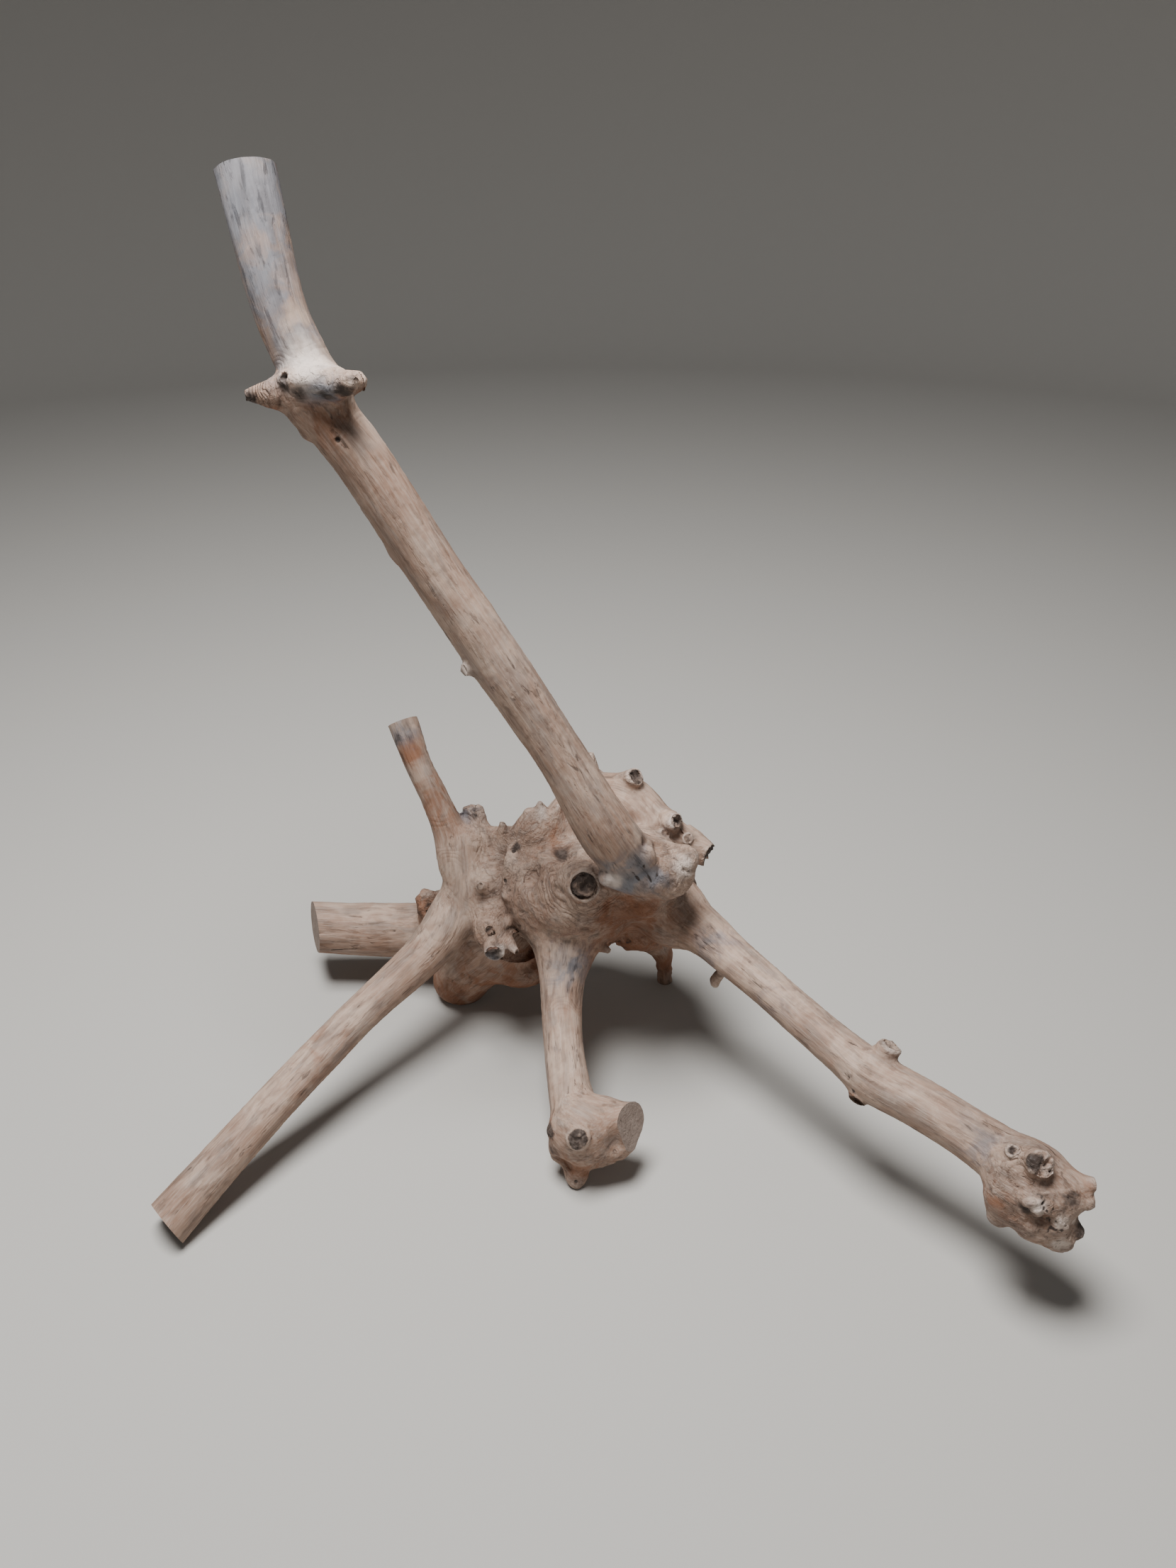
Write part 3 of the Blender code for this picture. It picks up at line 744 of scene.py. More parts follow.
def seed_skin(parts, cell):
    """Every part's own closed surface, melted into one by a voxel remesh."""
    points, faces = [], []
    start = 0
    for part in parts:
        some_points, some_faces = part.seed()
        points.append(some_points)
        faces += [[corner + start for corner in face] for face in some_faces]
        start += len(some_points)
    mesh = bpy.data.meshes.new("seed")
    mesh.from_pydata(np.vstack(points).tolist(), [], faces)
    seed = bpy.data.objects.new("seed", mesh)
    bpy.context.scene.collection.objects.link(seed)
    remesh = seed.modifiers.new("Melt", "REMESH")
    remesh.mode = "VOXEL"
    remesh.voxel_size = cell
    bpy.context.view_layer.update()
    melted = bpy.data.meshes.new_from_object(
        seed.evaluated_get(bpy.context.evaluated_depsgraph_get()))
    melted.calc_loop_triangles()
    corners = np.empty(len(melted.loop_triangles) * 3, np.int32)
    melted.loop_triangles.foreach_get("vertices", corners)
    flat = np.empty(len(melted.vertices) * 3, np.float32)
    melted.vertices.foreach_get("co", flat)
    bpy.data.objects.remove(seed)
    bpy.data.meshes.remove(mesh)
    bpy.data.meshes.remove(melted)
    return flat.reshape(-1, 3).astype(float), corners.reshape(-1, 3).astype(int)


def edges_of(triangles):
    """The different edges, and for each triangle the numbers of its three."""
    ends = np.concatenate([triangles[:, [0, 1]], triangles[:, [1, 2]], triangles[:, [2, 0]]])
    ends.sort(axis=1)
    span = triangles.max() + 1
    keys, where = np.unique(ends[:, 0] * span + ends[:, 1], return_inverse=True)
    edges = np.stack([keys // span, keys % span], axis=1)
    return edges, where.reshape(3, -1).T


def split(rows, triangles, marked, share, edges, of_triangle):
    """Puts a point on every marked edge, share of the way along it, and cuts each triangle
    that has one, two or three such edges into two, three or four."""
    added = np.full(len(edges), -1)
    added[marked] = len(rows) + np.arange(marked.sum())
    first, last = rows[edges[marked, 0]], rows[edges[marked, 1]]
    rows = np.vstack([rows, first + (last - first) * share[marked, None]])
    middles = added[of_triangle]
    cuts = (middles >= 0).sum(axis=1)
    pieces = [triangles[cuts == 0]]
    for turn in range(3):
        a, b, c = np.roll(triangles, -turn, axis=1).T
        ab, bc, ca = np.roll(middles, -turn, axis=1).T
        one = (cuts == 1) & (ab >= 0)
        two = (cuts == 2) & (ca < 0)
        pieces += [
            np.stack(corners, axis=1)[chosen] for chosen, corners in (
                (one, (a, ab, c)), (one, (ab, b, c)),
                (two, (ab, b, bc)), (two, (a, ab, bc)), (two, (a, bc, c)),
                (cuts == 3, (a, ab, ca)),
            )
        ]
    ab, bc, ca = middles[cuts == 3].T
    pieces.append(np.stack([ab, bc, ca], axis=1))
    return rows, np.vstack(pieces)


def refined(points, triangles, limit):
    """Halves every edge that is longer than the limit at its middle."""
    edges, of_triangle = edges_of(triangles)
    ends = points[edges]
    long = lengths(ends[:, 1] - ends[:, 0])
    marked = long > limit(ends.mean(axis=1))
    return split(points, triangles, marked, np.full(len(edges), 0.5), edges, of_triangle)


def zone_limit(points, fine):
    """The longest edge allowed in the fine zones; elsewhere there is none."""
    limit = np.full(len(points), NO_LIMIT)
    for centre, reach in FINE_ZONES:
        limit[lengths(points - np.array(centre)) < reach] = fine
    return limit


def mark_limit(points, fine, stubs):
    """The longest edge allowed on the stubs, snags' tips, cracks and beetle holes."""
    limit = np.full(len(points), NO_LIMIT)
    for stub in stubs.values():
        height, across, _ = stub.local(points)
        limit[(np.abs(height) < 4.0) & (across < stub.radius * 1.2)] = fine
    for mouth, radius, _ in PIN_HOLES:
        limit[lengths(points - np.array(mouth)) < 2.0 + radius] = fine
    for start, end, width, _, _ in CRACKS:
        limit[from_line(points, start, end) < 2.5 + width] = fine
    for _, tip, _, thin in SNAGS:
        limit[lengths(points - np.array(tip)) < 1.0 + 1.5 * thin] = fine
    return limit


def corner_normals(points, triangles):
    """The way out at each point: the sum of its triangles' cross products, made unit."""
    a, b, c = (points[triangles[:, k]] for k in range(3))
    cross = np.cross(b - a, c - a)
    summed = np.stack([
        sum(np.bincount(triangles[:, k], cross[:, axis], len(points)) for k in range(3))
        for axis in range(3)
    ], axis=1)
    return summed / np.maximum(lengths(summed), 1e-9)[:, None]


def edge_sums(edges, count, to_first, to_last):
    """For each point, the sum of what its edges bring to their first and last ends."""
    return np.bincount(edges[:, 0], to_first, count) + np.bincount(edges[:, 1], to_last, count)


def edge_counts(edges, count):
    """How many edges meet at each point, and 1 where there are none."""
    return np.maximum(np.bincount(edges.ravel(), minlength=count), 1)


def averaged(values, edges, rounds):
    """Each value moved halfway to the average of its neighbours', the given times."""
    count = edge_counts(edges, len(values))
    for _ in range(rounds):
        near = edge_sums(edges, len(values), values[edges[:, 1]], values[edges[:, 0]])
        values = 0.5 * values + 0.5 * near / count
    return values


# ---------------------------------------------------------------------------------------
# The relief: grain, folds, hollows, knots, cracks and holes pressed into the skin.

def grain_frame(points, limbs):
    """For each point, its run along the grain and its place across it: each limb's own,
    weighted by exp(-gap / blend). Also the gap to the nearest limb."""
    total = np.full(len(points), 1e-9)
    blended = np.zeros_like(points)
    nearest = np.full(len(points), NO_LIMIT)
    for limb in limbs.values():
        near = limb.near(points, GRAIN_REACH)
        index, gap = limb.nearest(points[near])
        offset = points[near] - limb.place[index]
        local = np.stack([
            limb.run[index] + (offset * limb.along[index]).sum(axis=1),
            (offset * limb.side[index]).sum(axis=1),
            (offset * limb.up[index]).sum(axis=1),
        ], axis=1)
        weight = np.exp(-np.maximum(gap, 0.0) / GRAIN_BLEND)
        total[near] += weight
        blended[near] += weight[:, None] * local
        nearest[near] = np.minimum(nearest[near], gap)
    return blended / total[:, None], nearest


def reach_mask(points, spots):
    """How strongly each point lies in the spots: strength * exp(-(distance / reach)^2)."""
    mask = np.zeros(len(points))
    for centre, reach, strength in spots:
        apart = lengths(points - np.array(centre, float))
        mask = np.maximum(mask, strength * np.exp(-(apart / reach) ** 2))
    return mask


def limb_relief(grain, limb, depth):
    """Slow swelling, ridges along the grain and the grooves blown out between them, as
    noise on the grain frame. Gives back how far each point rises, and the grooves."""
    def stretched(sizes):
        """The grain frame in units of the noise's size along the grain and across it."""
        along, across = sizes
        return grain / np.array([along, across, across])

    rise = depth["swell"] * limb * layered_noise(stretched(SWELL_SIZE), SEEDS["swell"], 2)
    rise += depth["grain"] * limb * layered_noise(
        stretched(GRAIN_SIZE), SEEDS["grain"], 3, 0.6)
    groove = eased(0.30, 0.62, lattice_noise(stretched(GROOVE_SIZE), SEEDS["groove"]))
    rise -= depth["groove"] * groove * (0.35 + 0.65 * limb)
    return rise, groove


def crown_relief(rise, points, warped, crown, depth):
    """The crown's lumps, as noise; its wandering ridges, 1 - 2 |noise|; its blown pits,
    where noise is high; and the rasp of the grit all over. Gives back the pits."""
    rise += depth["burl"] * crown * layered_noise(points / BURL_SIZE, SEEDS["burl"], 2, 0.5)
    ridge = 1.0 - np.abs(
        layered_noise(warped / np.array(RIDGE_SIZE), SEEDS["ridge"], 2, 0.5)) * 2.0
    rise += depth["ridge"] * crown * ridge
    pit = eased(0.48, 0.76, lattice_noise(warped / PIT_SIZE, SEEDS["pit"]))
    rise -= depth["pit"] * pit * (0.15 + 0.85 * crown)
    rise += depth["rasp"] * layered_noise(points / RASP_SIZE, SEEDS["rasp"], 2, 0.6)
    return pit


def rot_relief(rise, points, warped, depth):
    """Chunks of rotten wood: they stand 1.8 |noise| - 0.6 of the depth. Gives back the
    crevices between them."""
    rot = reach_mask(points, ROTTEN)
    chunk = np.abs(layered_noise(warped / CHUNK_SIZE, SEEDS["chunk"], 3, 0.55))
    rise += depth["rot"] * rot * (1.8 * chunk - 0.6)
    return rot * (1.0 - eased(0.03, 0.16, chunk))


def fold_relief(rise, points, crown, depth):
    """Folds that ring each centre, |sin(pi * turns)| high, where the turns are the distance
    over the spacing, swayed by noise. Gives back, for the strongest folds at each point,
    the turns of the finer folds in the material and their strength."""
    phase = np.zeros(len(points))
    folded = np.zeros(len(points))
    for number, (centre, inner, outer, spacing, height) in enumerate(FOLDS):
        apart = lengths(points - np.array(centre, float))
        near = apart < outer
        far = apart[near]
        sway = SWAY * layered_noise(points[near] / SWAY_SIZE, SEEDS["fold"] + number, 2, 0.5)
        turns = far / spacing + sway
        wave = np.abs(np.sin(np.pi * turns))
        window = eased(inner - 3.0, inner + 2.0, far) * (1.0 - eased(0.55 * outer, outer, far))
        patchy = eased(
            -0.45, 0.25, lattice_noise(points[near] / PATCH_SIZE, SEEDS["patch"] + number))
        window = window * (0.35 + 0.65 * crown[near]) * (0.15 + 0.85 * patchy)
        rise[near] += depth["fold"] * height * window * (wave - 0.62)
        wins = window > folded[near]
        where = np.flatnonzero(near)[wins]
        phase[where] = FINER_FOLDS * turns[wins]
        folded[where] = window[wins]
    return phase, folded


def stub_relief(rise, dark, rim, points, stub, number):
    """A stub's face: rough broken wood, growth rings, three checks that run out from the
    middle and a heart that has sunk or swelled, inside a welt with a hollow round it. The
    welt and the hollow are bell curves of the distance from the axis over the radius."""
    height, across, _ = stub.local(points)
    near = (np.abs(height) < 6.0 + stub.sunk) & (across < stub.radius * 1.9)
    high, wide = height[near], across[near] / stub.radius
    place = points[near]
    face = 1.0 - eased(0.80, 1.0, wide)
    low = eased(-8.0, -3.5, high) * face
    turn = np.arctan2((place - stub.face) @ stub.up, (place - stub.face) @ stub.side)
    ring = np.sin(2 * np.pi * across[near] / STUB_RING + lattice_noise(place / 4.0, SEEDS["ring"]))
    check = eased(0.80, 1.0, np.cos(3 * turn + 2.0 * number)) * eased(0.15, 0.5, wide)
    broken = np.clip(
        layered_noise(place / BREAK_SIZE, SEEDS["break"] + number, 2, 0.6), -1.2, 0.9)
    heart = 1.0 - eased(0.12, 0.36, wide + 0.10 * np.sin(2.0 * turn + number))
    rise[near] += low * (
        0.62 * stub.rough * broken + 0.12 * ring - 0.8 * check
        - (1.2 + stub.sunk) * stub.dark * heart)
    if stub.sunk == 0.0:
        rise[near] += 1.8 * low * (1.0 - np.minimum(wide, 1.0) ** 2)
    welt = np.exp(-((wide - 1.03) / 0.11) ** 2) * eased(-4.0, -1.0, high)
    hollow = np.exp(-((wide - 1.32) / 0.15) ** 2)
    uneven = 0.5 + 0.5 * lattice_noise(place / WELT_SIZE, SEEDS["welt"] + number)
    rise[near] += 0.22 * welt * uneven - 0.22 * hollow
    blotch = 0.62 + 0.38 * heart + 0.26 * lattice_noise(
        place / BREAK_SIZE, SEEDS["blotch"] + number)
    dark[near] = np.maximum(dark[near], stub.dark * low * blotch)
    rim[near] = np.maximum(rim[near], welt * uneven)


def crack_relief(rise, dark, points):
    """Cracks, exp(-(distance / width)^2) deep across their line, and beetle holes,
    exp(-(distance / radius)^4) deep round their mouth."""
    for start, end, width, deep, black in CRACKS:
        apart = from_line(points, start, end)
        rise -= deep * 0.55 * np.exp(-(apart / (width + 0.5)) ** 2)
        np.maximum(dark, black * np.exp(-(apart / width) ** 2), out=dark)
    for mouth, radius, deep in PIN_HOLES:
        apart = lengths(points - np.array(mouth, float))
        sink = np.exp(-(apart / (radius + 0.4)) ** 4)
        rise -= deep * 0.6 * sink
        np.maximum(dark, sink, out=dark)


def thick_enough(points):
    """How much relief the wood can carry: all of it, but near the outer half of a snag only
    the tip's radius over 14 mm."""
    share = np.ones(len(points))
    for root, tip, _, radius in SNAGS:
        halfway = 0.5 * np.add(root, tip)
        beyond = eased(1.5 * radius + 2.0, 2.2 * radius + 8.0, from_line(points, halfway, tip))
        share = np.minimum(share, radius / 14.0 + (1.0 - radius / 14.0) * beyond)
    return share


def relief(points, limbs, stubs, depth):
    """How far each point rises (mm): every kind of relief added up. Also how dark it is,
    how pale its rim, how pitted, and the turns and strength of the folds there."""
    grain, gap = grain_frame(points, limbs)
    crown = eased(*CROWN_GAP, gap)
    limb = 1.0 - crown
    rise, groove = limb_relief(grain, limb, depth)
    crown = crown * (1.0 - reach_mask(points, CALM))
    warped = points + WARP * np.stack(
        [lattice_noise(points / WARP_SIZE, seed) for seed in SEEDS["warp"]], axis=1)
    pit = crown_relief(rise, points, warped, crown, depth)
    crevice = rot_relief(rise, points, warped, depth)
    phase, folded = fold_relief(rise, points, crown, depth)
    dark = np.maximum(reach_mask(points, SOOT_STAINS), 0.8 * crevice)
    rim = np.zeros(len(points))
    for number, stub in enumerate(stubs.values()):
        stub_relief(rise, dark, rim, points, stub, number)
    crack_relief(rise, dark, points)
    pitted = np.clip(0.6 * groove * limb + pit * crown, 0.0, 1.0)
    return rise * thick_enough(points), dark, rim, pitted, phase, folded


def sawn(rows, triangles, place, away):
    """Cuts off what lies past the plane, near the place, and closes the cut with rings of
    faces that shrink to its middle. Gives back which rows are on the cut and its rim."""
    place, away = np.array(place, float), unit(away)
    height = (rows[:, PLACE] - place) @ away
    local = lengths(rows[:, PLACE] - place) < SAW_REACH
    close = local & (np.abs(height) < SNAP)
    rows[close, PLACE] -= height[close, None] * away
    height[close] = 0.0
    edges, of_triangle = edges_of(triangles)
    first, last = height[edges[:, 0]], height[edges[:, 1]]
    marked = (first * last < 0.0) & local[edges].all(axis=1)
    share = np.where(marked, first / np.where(marked, first - last, 1.0), 0.0)
    rows, triangles = split(rows, triangles, marked, share, edges, of_triangle)

    height = (rows[:, PLACE] - place) @ away
    local = lengths(rows[:, PLACE] - place) < SAW_REACH + 8.0
    past = (height > 1e-6) & local
    triangles = triangles[~past[triangles].any(axis=1)]

    edges, of_triangle = edges_of(triangles)
    lone = np.bincount(of_triangle.ravel(), minlength=len(edges)) == 1
    rim = np.unique(edges[lone])
    middle = rows[rim, PLACE].mean(axis=0)
    side, up = side_axes(away)
    spread = rows[rim, PLACE] - middle
    rim = rim[np.argsort(np.arctan2(spread @ up, spread @ side))]

    inward = (1.0 - np.arange(1, END_RINGS) / END_RINGS)[:, None, None]
    rings = middle + inward * (rows[rim, PLACE] - middle)[None]
    new = np.zeros((rings.shape[0] * rings.shape[1] + 1, rows.shape[1]))
    new[:-1, PLACE] = rings.reshape(-1, 3)
    new[-1, PLACE] = middle
    index = len(rows) + np.arange(len(new) - 1).reshape(rings.shape[:2])
    index = np.vstack([rim, index])
    onward = np.roll(index, -1, axis=1)
    faces = [
        np.stack([index[:-1], onward[:-1], onward[1:]], axis=2).reshape(-1, 3),
        np.stack([index[:-1], onward[1:], index[1:]], axis=2).reshape(-1, 3),
        np.stack([index[-1], onward[-1], np.full(len(rim), len(rows) + len(new) - 1)], axis=1),
    ]
    cut_rows = len(rows) + np.arange(len(new))
    return np.vstack([rows, new]), np.vstack([triangles, *faces]), cut_rows, rim


def largest_piece(points, triangles):
    """Keeps the one connected skin: every point takes the lowest number among its
    neighbours until nothing changes, and the most common number wins."""
    edges, _ = edges_of(triangles)
    label = np.arange(len(points))
    while True:
        before = label.copy()
        lower = np.minimum(label[edges[:, 0]], label[edges[:, 1]])
        np.minimum.at(label, edges[:, 0], lower)
        np.minimum.at(label, edges[:, 1], lower)
        label = label[label]
        if np.array_equal(before, label):
            break
    winner = np.bincount(label[triangles[:, 0]]).argmax()
    triangles = triangles[label[triangles[:, 0]] == winner]
    used, packed = np.unique(triangles, return_inverse=True)
    return points[used], packed.reshape(-1, 3)


def curvature(points, triangles, normals):
    """How far each point stands over the average of its neighbours along the way out,
    spread a little: above 0 on worn edges and below 0 in creases."""
    edges, _ = edges_of(triangles)
    count = edge_counts(edges, len(points))
    first, last = points[edges[:, 0]], points[edges[:, 1]]
    around = np.stack([
        edge_sums(edges, len(points), last[:, axis], first[:, axis]) for axis in range(3)
    ], axis=1) / count[:, None]
    length = lengths(first - last)
    span = edge_sums(edges, len(points), length, length) / count
    stands = ((points - around) * normals).sum(axis=1) / np.maximum(span, 0.2) ** 2
    return averaged(np.clip(stands, -0.6, 0.6), edges, 3)


def shut_in(points, normals, growth):
    """How shut in each point is: the wood's gap at two distances straight out, as a share
    of the distance, taken from 1. It is 0 on open wood and near 1 deep in a hollow. The material
    paints shade from it."""
    shut = np.zeros(len(points))
    for reach, weight in RECESS_STEPS:
        gap, _ = wood_field(points + reach * normals, *growth)
        shut += weight * (1.0 - np.clip(gap / reach, 0.0, 1.0))
    return shut


def all_sawn(rows, triangles):
    """Saws every end off, and notes on each cut its place on the face and its tone."""
    for place, away, tone in SAWN_ENDS.values():
        rows, triangles, new, rim = sawn(rows, triangles, place, away)
        face = np.append(new, rim)
        away = unit(away)
        side, up = side_axes(away)
        spread = rows[face, PLACE] - rows[rim, PLACE].mean(axis=0)
        rows[face, CUT_X] = spread @ side
        rows[face, CUT_Y] = spread @ up
        rows[face, TONE] = tone
        rows[new, CUT] = 1.0
        rows[rim, EDGE] = 1.0
        rough = layered_noise(rows[new, PLACE] / 2.2, SEEDS["saw"], 2, 0.6)
        ripple = np.sin(rows[new, CUT_X] * SAW_RIPPLE + 0.6 * rough)
        rows[new, PLACE] += (0.14 * rough + 0.04 * ripple - 0.05)[:, None] * away
    return rows, triangles


def wood_skin(size):
    """The whole finished skin in design millimetres: its rows, triangles and limbs. Parts
    are melted into one, pulled onto the smooth union, split finer, raised by the relief
    and sawn."""
    limbs, lumps, snags, stubs = grown_parts()
    parts = [*limbs.values(), *lumps, *snags, *stubs.values()]
    growth = parts, stubs, [Lump(centre, radii) for centre, radii in HOLLOWS]
    points, triangles = largest_piece(*seed_skin(parts, size["cell"]))
    points = settled(points, growth, 4)
    for _ in range(2):
        points, triangles = refined(
            points, triangles, lambda middle: zone_limit(middle, size["fine"]))
    points = settled(points, growth, 2)
    for _ in range(2):
        points, triangles = refined(
            points, triangles, lambda middle: mark_limit(middle, size["mark"], stubs))
    points = settled(points, growth, 2)

    normals = corner_normals(points, triangles)
    rise, *marks = relief(points, limbs, stubs, size)
    points = points + rise[:, None] * normals
    rows = np.zeros((len(points), EDGE + 1))
    rows[:, PLACE] = points
    rows[:, DARK:FOLDED + 1] = np.column_stack(marks)
    rows[:, BENT] = curvature(points, triangles, corner_normals(points, triangles))
    rows[:, SHUT] = shut_in(points, normals, growth)

    rows, triangles = all_sawn(rows, triangles)
    used, packed = np.unique(triangles, return_inverse=True)
    return rows[used], packed.reshape(-1, 3), limbs


def kept_inside(places):
    """Design millimetres to the shared frame in metres: worn flat where it stands on the
    surface, and nowhere past the CAD model's box."""
    places = (places - CENTRE) * MM
    low, high = np.array(CAD_BOX[0]), np.array(CAD_BOX[1])
    return np.clip(places, low, high)


def add_values(mesh, name, kind, values):
    """Stores one value per point on the mesh, for the material to read."""
    field = {"FLOAT": "value", "FLOAT_VECTOR": "vector", "FLOAT_COLOR": "color"}[kind]
    layer = mesh.attributes.new(name, kind, "POINT")
    layer.data.foreach_set(field, np.ascontiguousarray(values, np.float32).ravel())


def triangle_mesh(name, places, triangles):
    """A mesh of plain triangles, filled in one go."""
    mesh = bpy.data.meshes.new(name)
    mesh.vertices.add(len(places))
    mesh.vertices.foreach_set("co", places.astype(np.float32).ravel())
    mesh.loops.add(triangles.size)
    mesh.loops.foreach_set("vertex_index", triangles.astype(np.int32).ravel())
    mesh.polygons.add(len(triangles))
    mesh.polygons.foreach_set("loop_start", np.arange(0, triangles.size, 3, dtype=np.int32))
    mesh.update(calc_edges=True)
    mesh.shade_smooth()
    return mesh


def as_piece(name, mesh, *materials):
    """Puts a finished mesh in the scene as a piece that rides with the root."""
    piece = bpy.data.objects.new(name, mesh)
    bpy.context.scene.collection.objects.link(piece)
    for material in materials:
        mesh.materials.append(material)
    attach(piece, "root")
    return piece


# ---------------------------------------------------------------------------------------
# Materials.

def hex_colour(text):
    """An sRGB hex colour as linear red, green, blue and full alpha."""
    given = [int(text[k:k + 2], 16) / 255 for k in (1, 3, 5)]
    linear = [c / 12.92 if c <= 0.04045 else ((c + 0.055) / 1.055) ** 2.4 for c in given]
    return (*linear, 1.0)


def add_node(tree, kind, inputs=None, **settings):
    """Adds a node. The settings are its properties, the inputs its values or its links."""
    node = tree.nodes.new(kind)
    for name, value in settings.items():
        setattr(node, name, value)
    for socket, value in (inputs or {}).items():
        if isinstance(value, bpy.types.NodeSocket):
            tree.links.new(value, node.inputs[socket])
        else:
            node.inputs[socket].default_value = value
    return node


# The wood's patterns. Each is noise on the grain frame or on the object: its size in
# millimetres along and across, its detail and distortion, and the values it runs between.
# A mark is about a third of the noise's size, as only its peaks show.
PATTERNS = {
    # Broad bands of weathering that run along a limb for several centimetres.
    "bands": ("grain", 52.0, 10.0, 3.0, 0.4, 0.48, 0.62),
    # Brown streaks a millimetre or two wide.
    "streaks": ("grain", 22.0, 4.2, 4.0, 0.3, 0.52, 0.68),
    # Fibres, drawn far coarser than real ones so that they show.
    "fibres": ("grain", 16.0, 1.4, 3.0, 0.0, 0.36, 0.70),
    # Short dark flecks, about 5 mm long and 1 mm wide, where bark rays broke out.
    "flecks": ("grain", 15.0, 3.4, 4.0, 0.7, 0.56, 0.68),
    # Where those flecks cluster, a few centimetres at a time.
    "scatter": ("grain", 34.0, 14.0, 2.0, 0.3, 0.47, 0.62),
    # Large patches of warmer wood.
    "patches": ("object", 74.0, 74.0, 3.0, 0.6, 0.40, 0.62),
    # Blotches half a centimetre or more wide, that break up the stains.
    "blotches": ("object", 17.0, 17.0, 4.0, 0.8, 0.38, 0.64),
    # Mottling of the burl.
    "mottle": ("object", 6.0, 6.0, 4.0, 1.2, 0.42, 0.66),
    # Pores and pecks of the blasting grit, under 1 mm.
    "pores": ("object", 1.9, 1.9, 2.0, 0.0, 0.66, 0.76),
}

# Sawn ends, in millimetres.
RING_WIDTH = 1.7          # from one growth ring to the next
RING_SWAY = 5.0           # how far the rings wander
RING_SWAY_SIZE = 9.0      # over what distance
SPECK_SIZE = 1.6          # of the torn fibres' noise


def pattern_sockets(tree):
    """One smooth mask from 0 to 1 for each of the wood's patterns."""
    grain = add_node(tree, "ShaderNodeAttribute", attribute_name="grain")
    place = add_node(tree, "ShaderNodeTexCoord")
    sources = {"grain": (grain.outputs["Vector"], 1.0), "object": (place.outputs["Object"], MM)}
    masks = {}
    for name, (source, along, across, detail, swirl, low, high) in PATTERNS.items():
        vector, millimetre = sources[source]
        scale = (1 / (along * millimetre), 1 / (across * millimetre), 1 / (across * millimetre))
        fitted = add_node(tree, "ShaderNodeMapping", {"Vector": vector, "Scale": scale})
        noise = add_node(tree, "ShaderNodeTexNoise", {
            "Vector": fitted.outputs["Vector"], "Scale": 1.0, "Detail": detail,
            "Roughness": 0.58, "Distortion": swirl})
        mask = add_node(tree, "ShaderNodeMapRange", {
            "Value": noise.outputs["Fac"], "From Min": low, "From Max": high},
            interpolation_type="SMOOTHSTEP")
        masks[name] = mask.outputs["Result"]
    return masks


def product(tree, *factors):
    """The factors multiplied together, each a socket or a number."""
    result = factors[0]
    for factor in factors[1:]:
        result = add_node(
            tree, "ShaderNodeMath", {0: result, 1: factor}, operation="MULTIPLY").outputs[0]
    return result


def broken_up(tree, stain, blotches, low, high):
    """A stain with its edge broken up: stain + 0.30 * blotches, eased from low to high."""
    mixed = add_node(tree, "ShaderNodeMath", {
        0: blotches, 1: 0.30, 2: stain}, operation="MULTIPLY_ADD")
    mask = add_node(tree, "ShaderNodeMapRange", {
        "Value": mixed.outputs[0], "From Min": low, "From Max": high},
        interpolation_type="SMOOTHSTEP")
    return mask.outputs["Result"]


# The sockets of a Mix node when it mixes colours.
MIX_FACTOR, MIX_UNDER, MIX_OVER, MIX_RESULT = 0, 6, 7, 2


def layered_colour(tree, base, layers):
    """Lays one colour over another: each layer is a mask, a colour and its strength."""
    colour = base
    for mask, over, strength in layers:
        mixed = add_node(tree, "ShaderNodeMix", {
            MIX_FACTOR: product(tree, mask, strength), MIX_UNDER: colour, MIX_OVER: over},
            data_type="RGBA")
        colour = mixed.outputs[MIX_RESULT]
    return colour


def bumped(tree, heights):
    """A chain of bumps: each a height mask and how far it stands, in millimetres."""
    normal = None
    for height, distance in heights:
        bump = add_node(tree, "ShaderNodeBump", {
            "Height": height, "Distance": distance * MM, "Strength": 1.0})
        if normal is not None:
            tree.links.new(normal, bump.inputs["Normal"])
        normal = bump.outputs["Normal"]
    return normal


def new_material(name, roughness, gloss):
    """A material with its node tree and its shader. Wood and paper bend light alike."""
    material = bpy.data.materials.new(name)
    material.use_nodes = True
    shader = material.node_tree.nodes["Principled BSDF"]
    shader.inputs["Roughness"].default_value = roughness
    shader.inputs["IOR"].default_value = 1.5
    shader.inputs["Specular IOR Level"].default_value = gloss
    return material, material.node_tree, shader


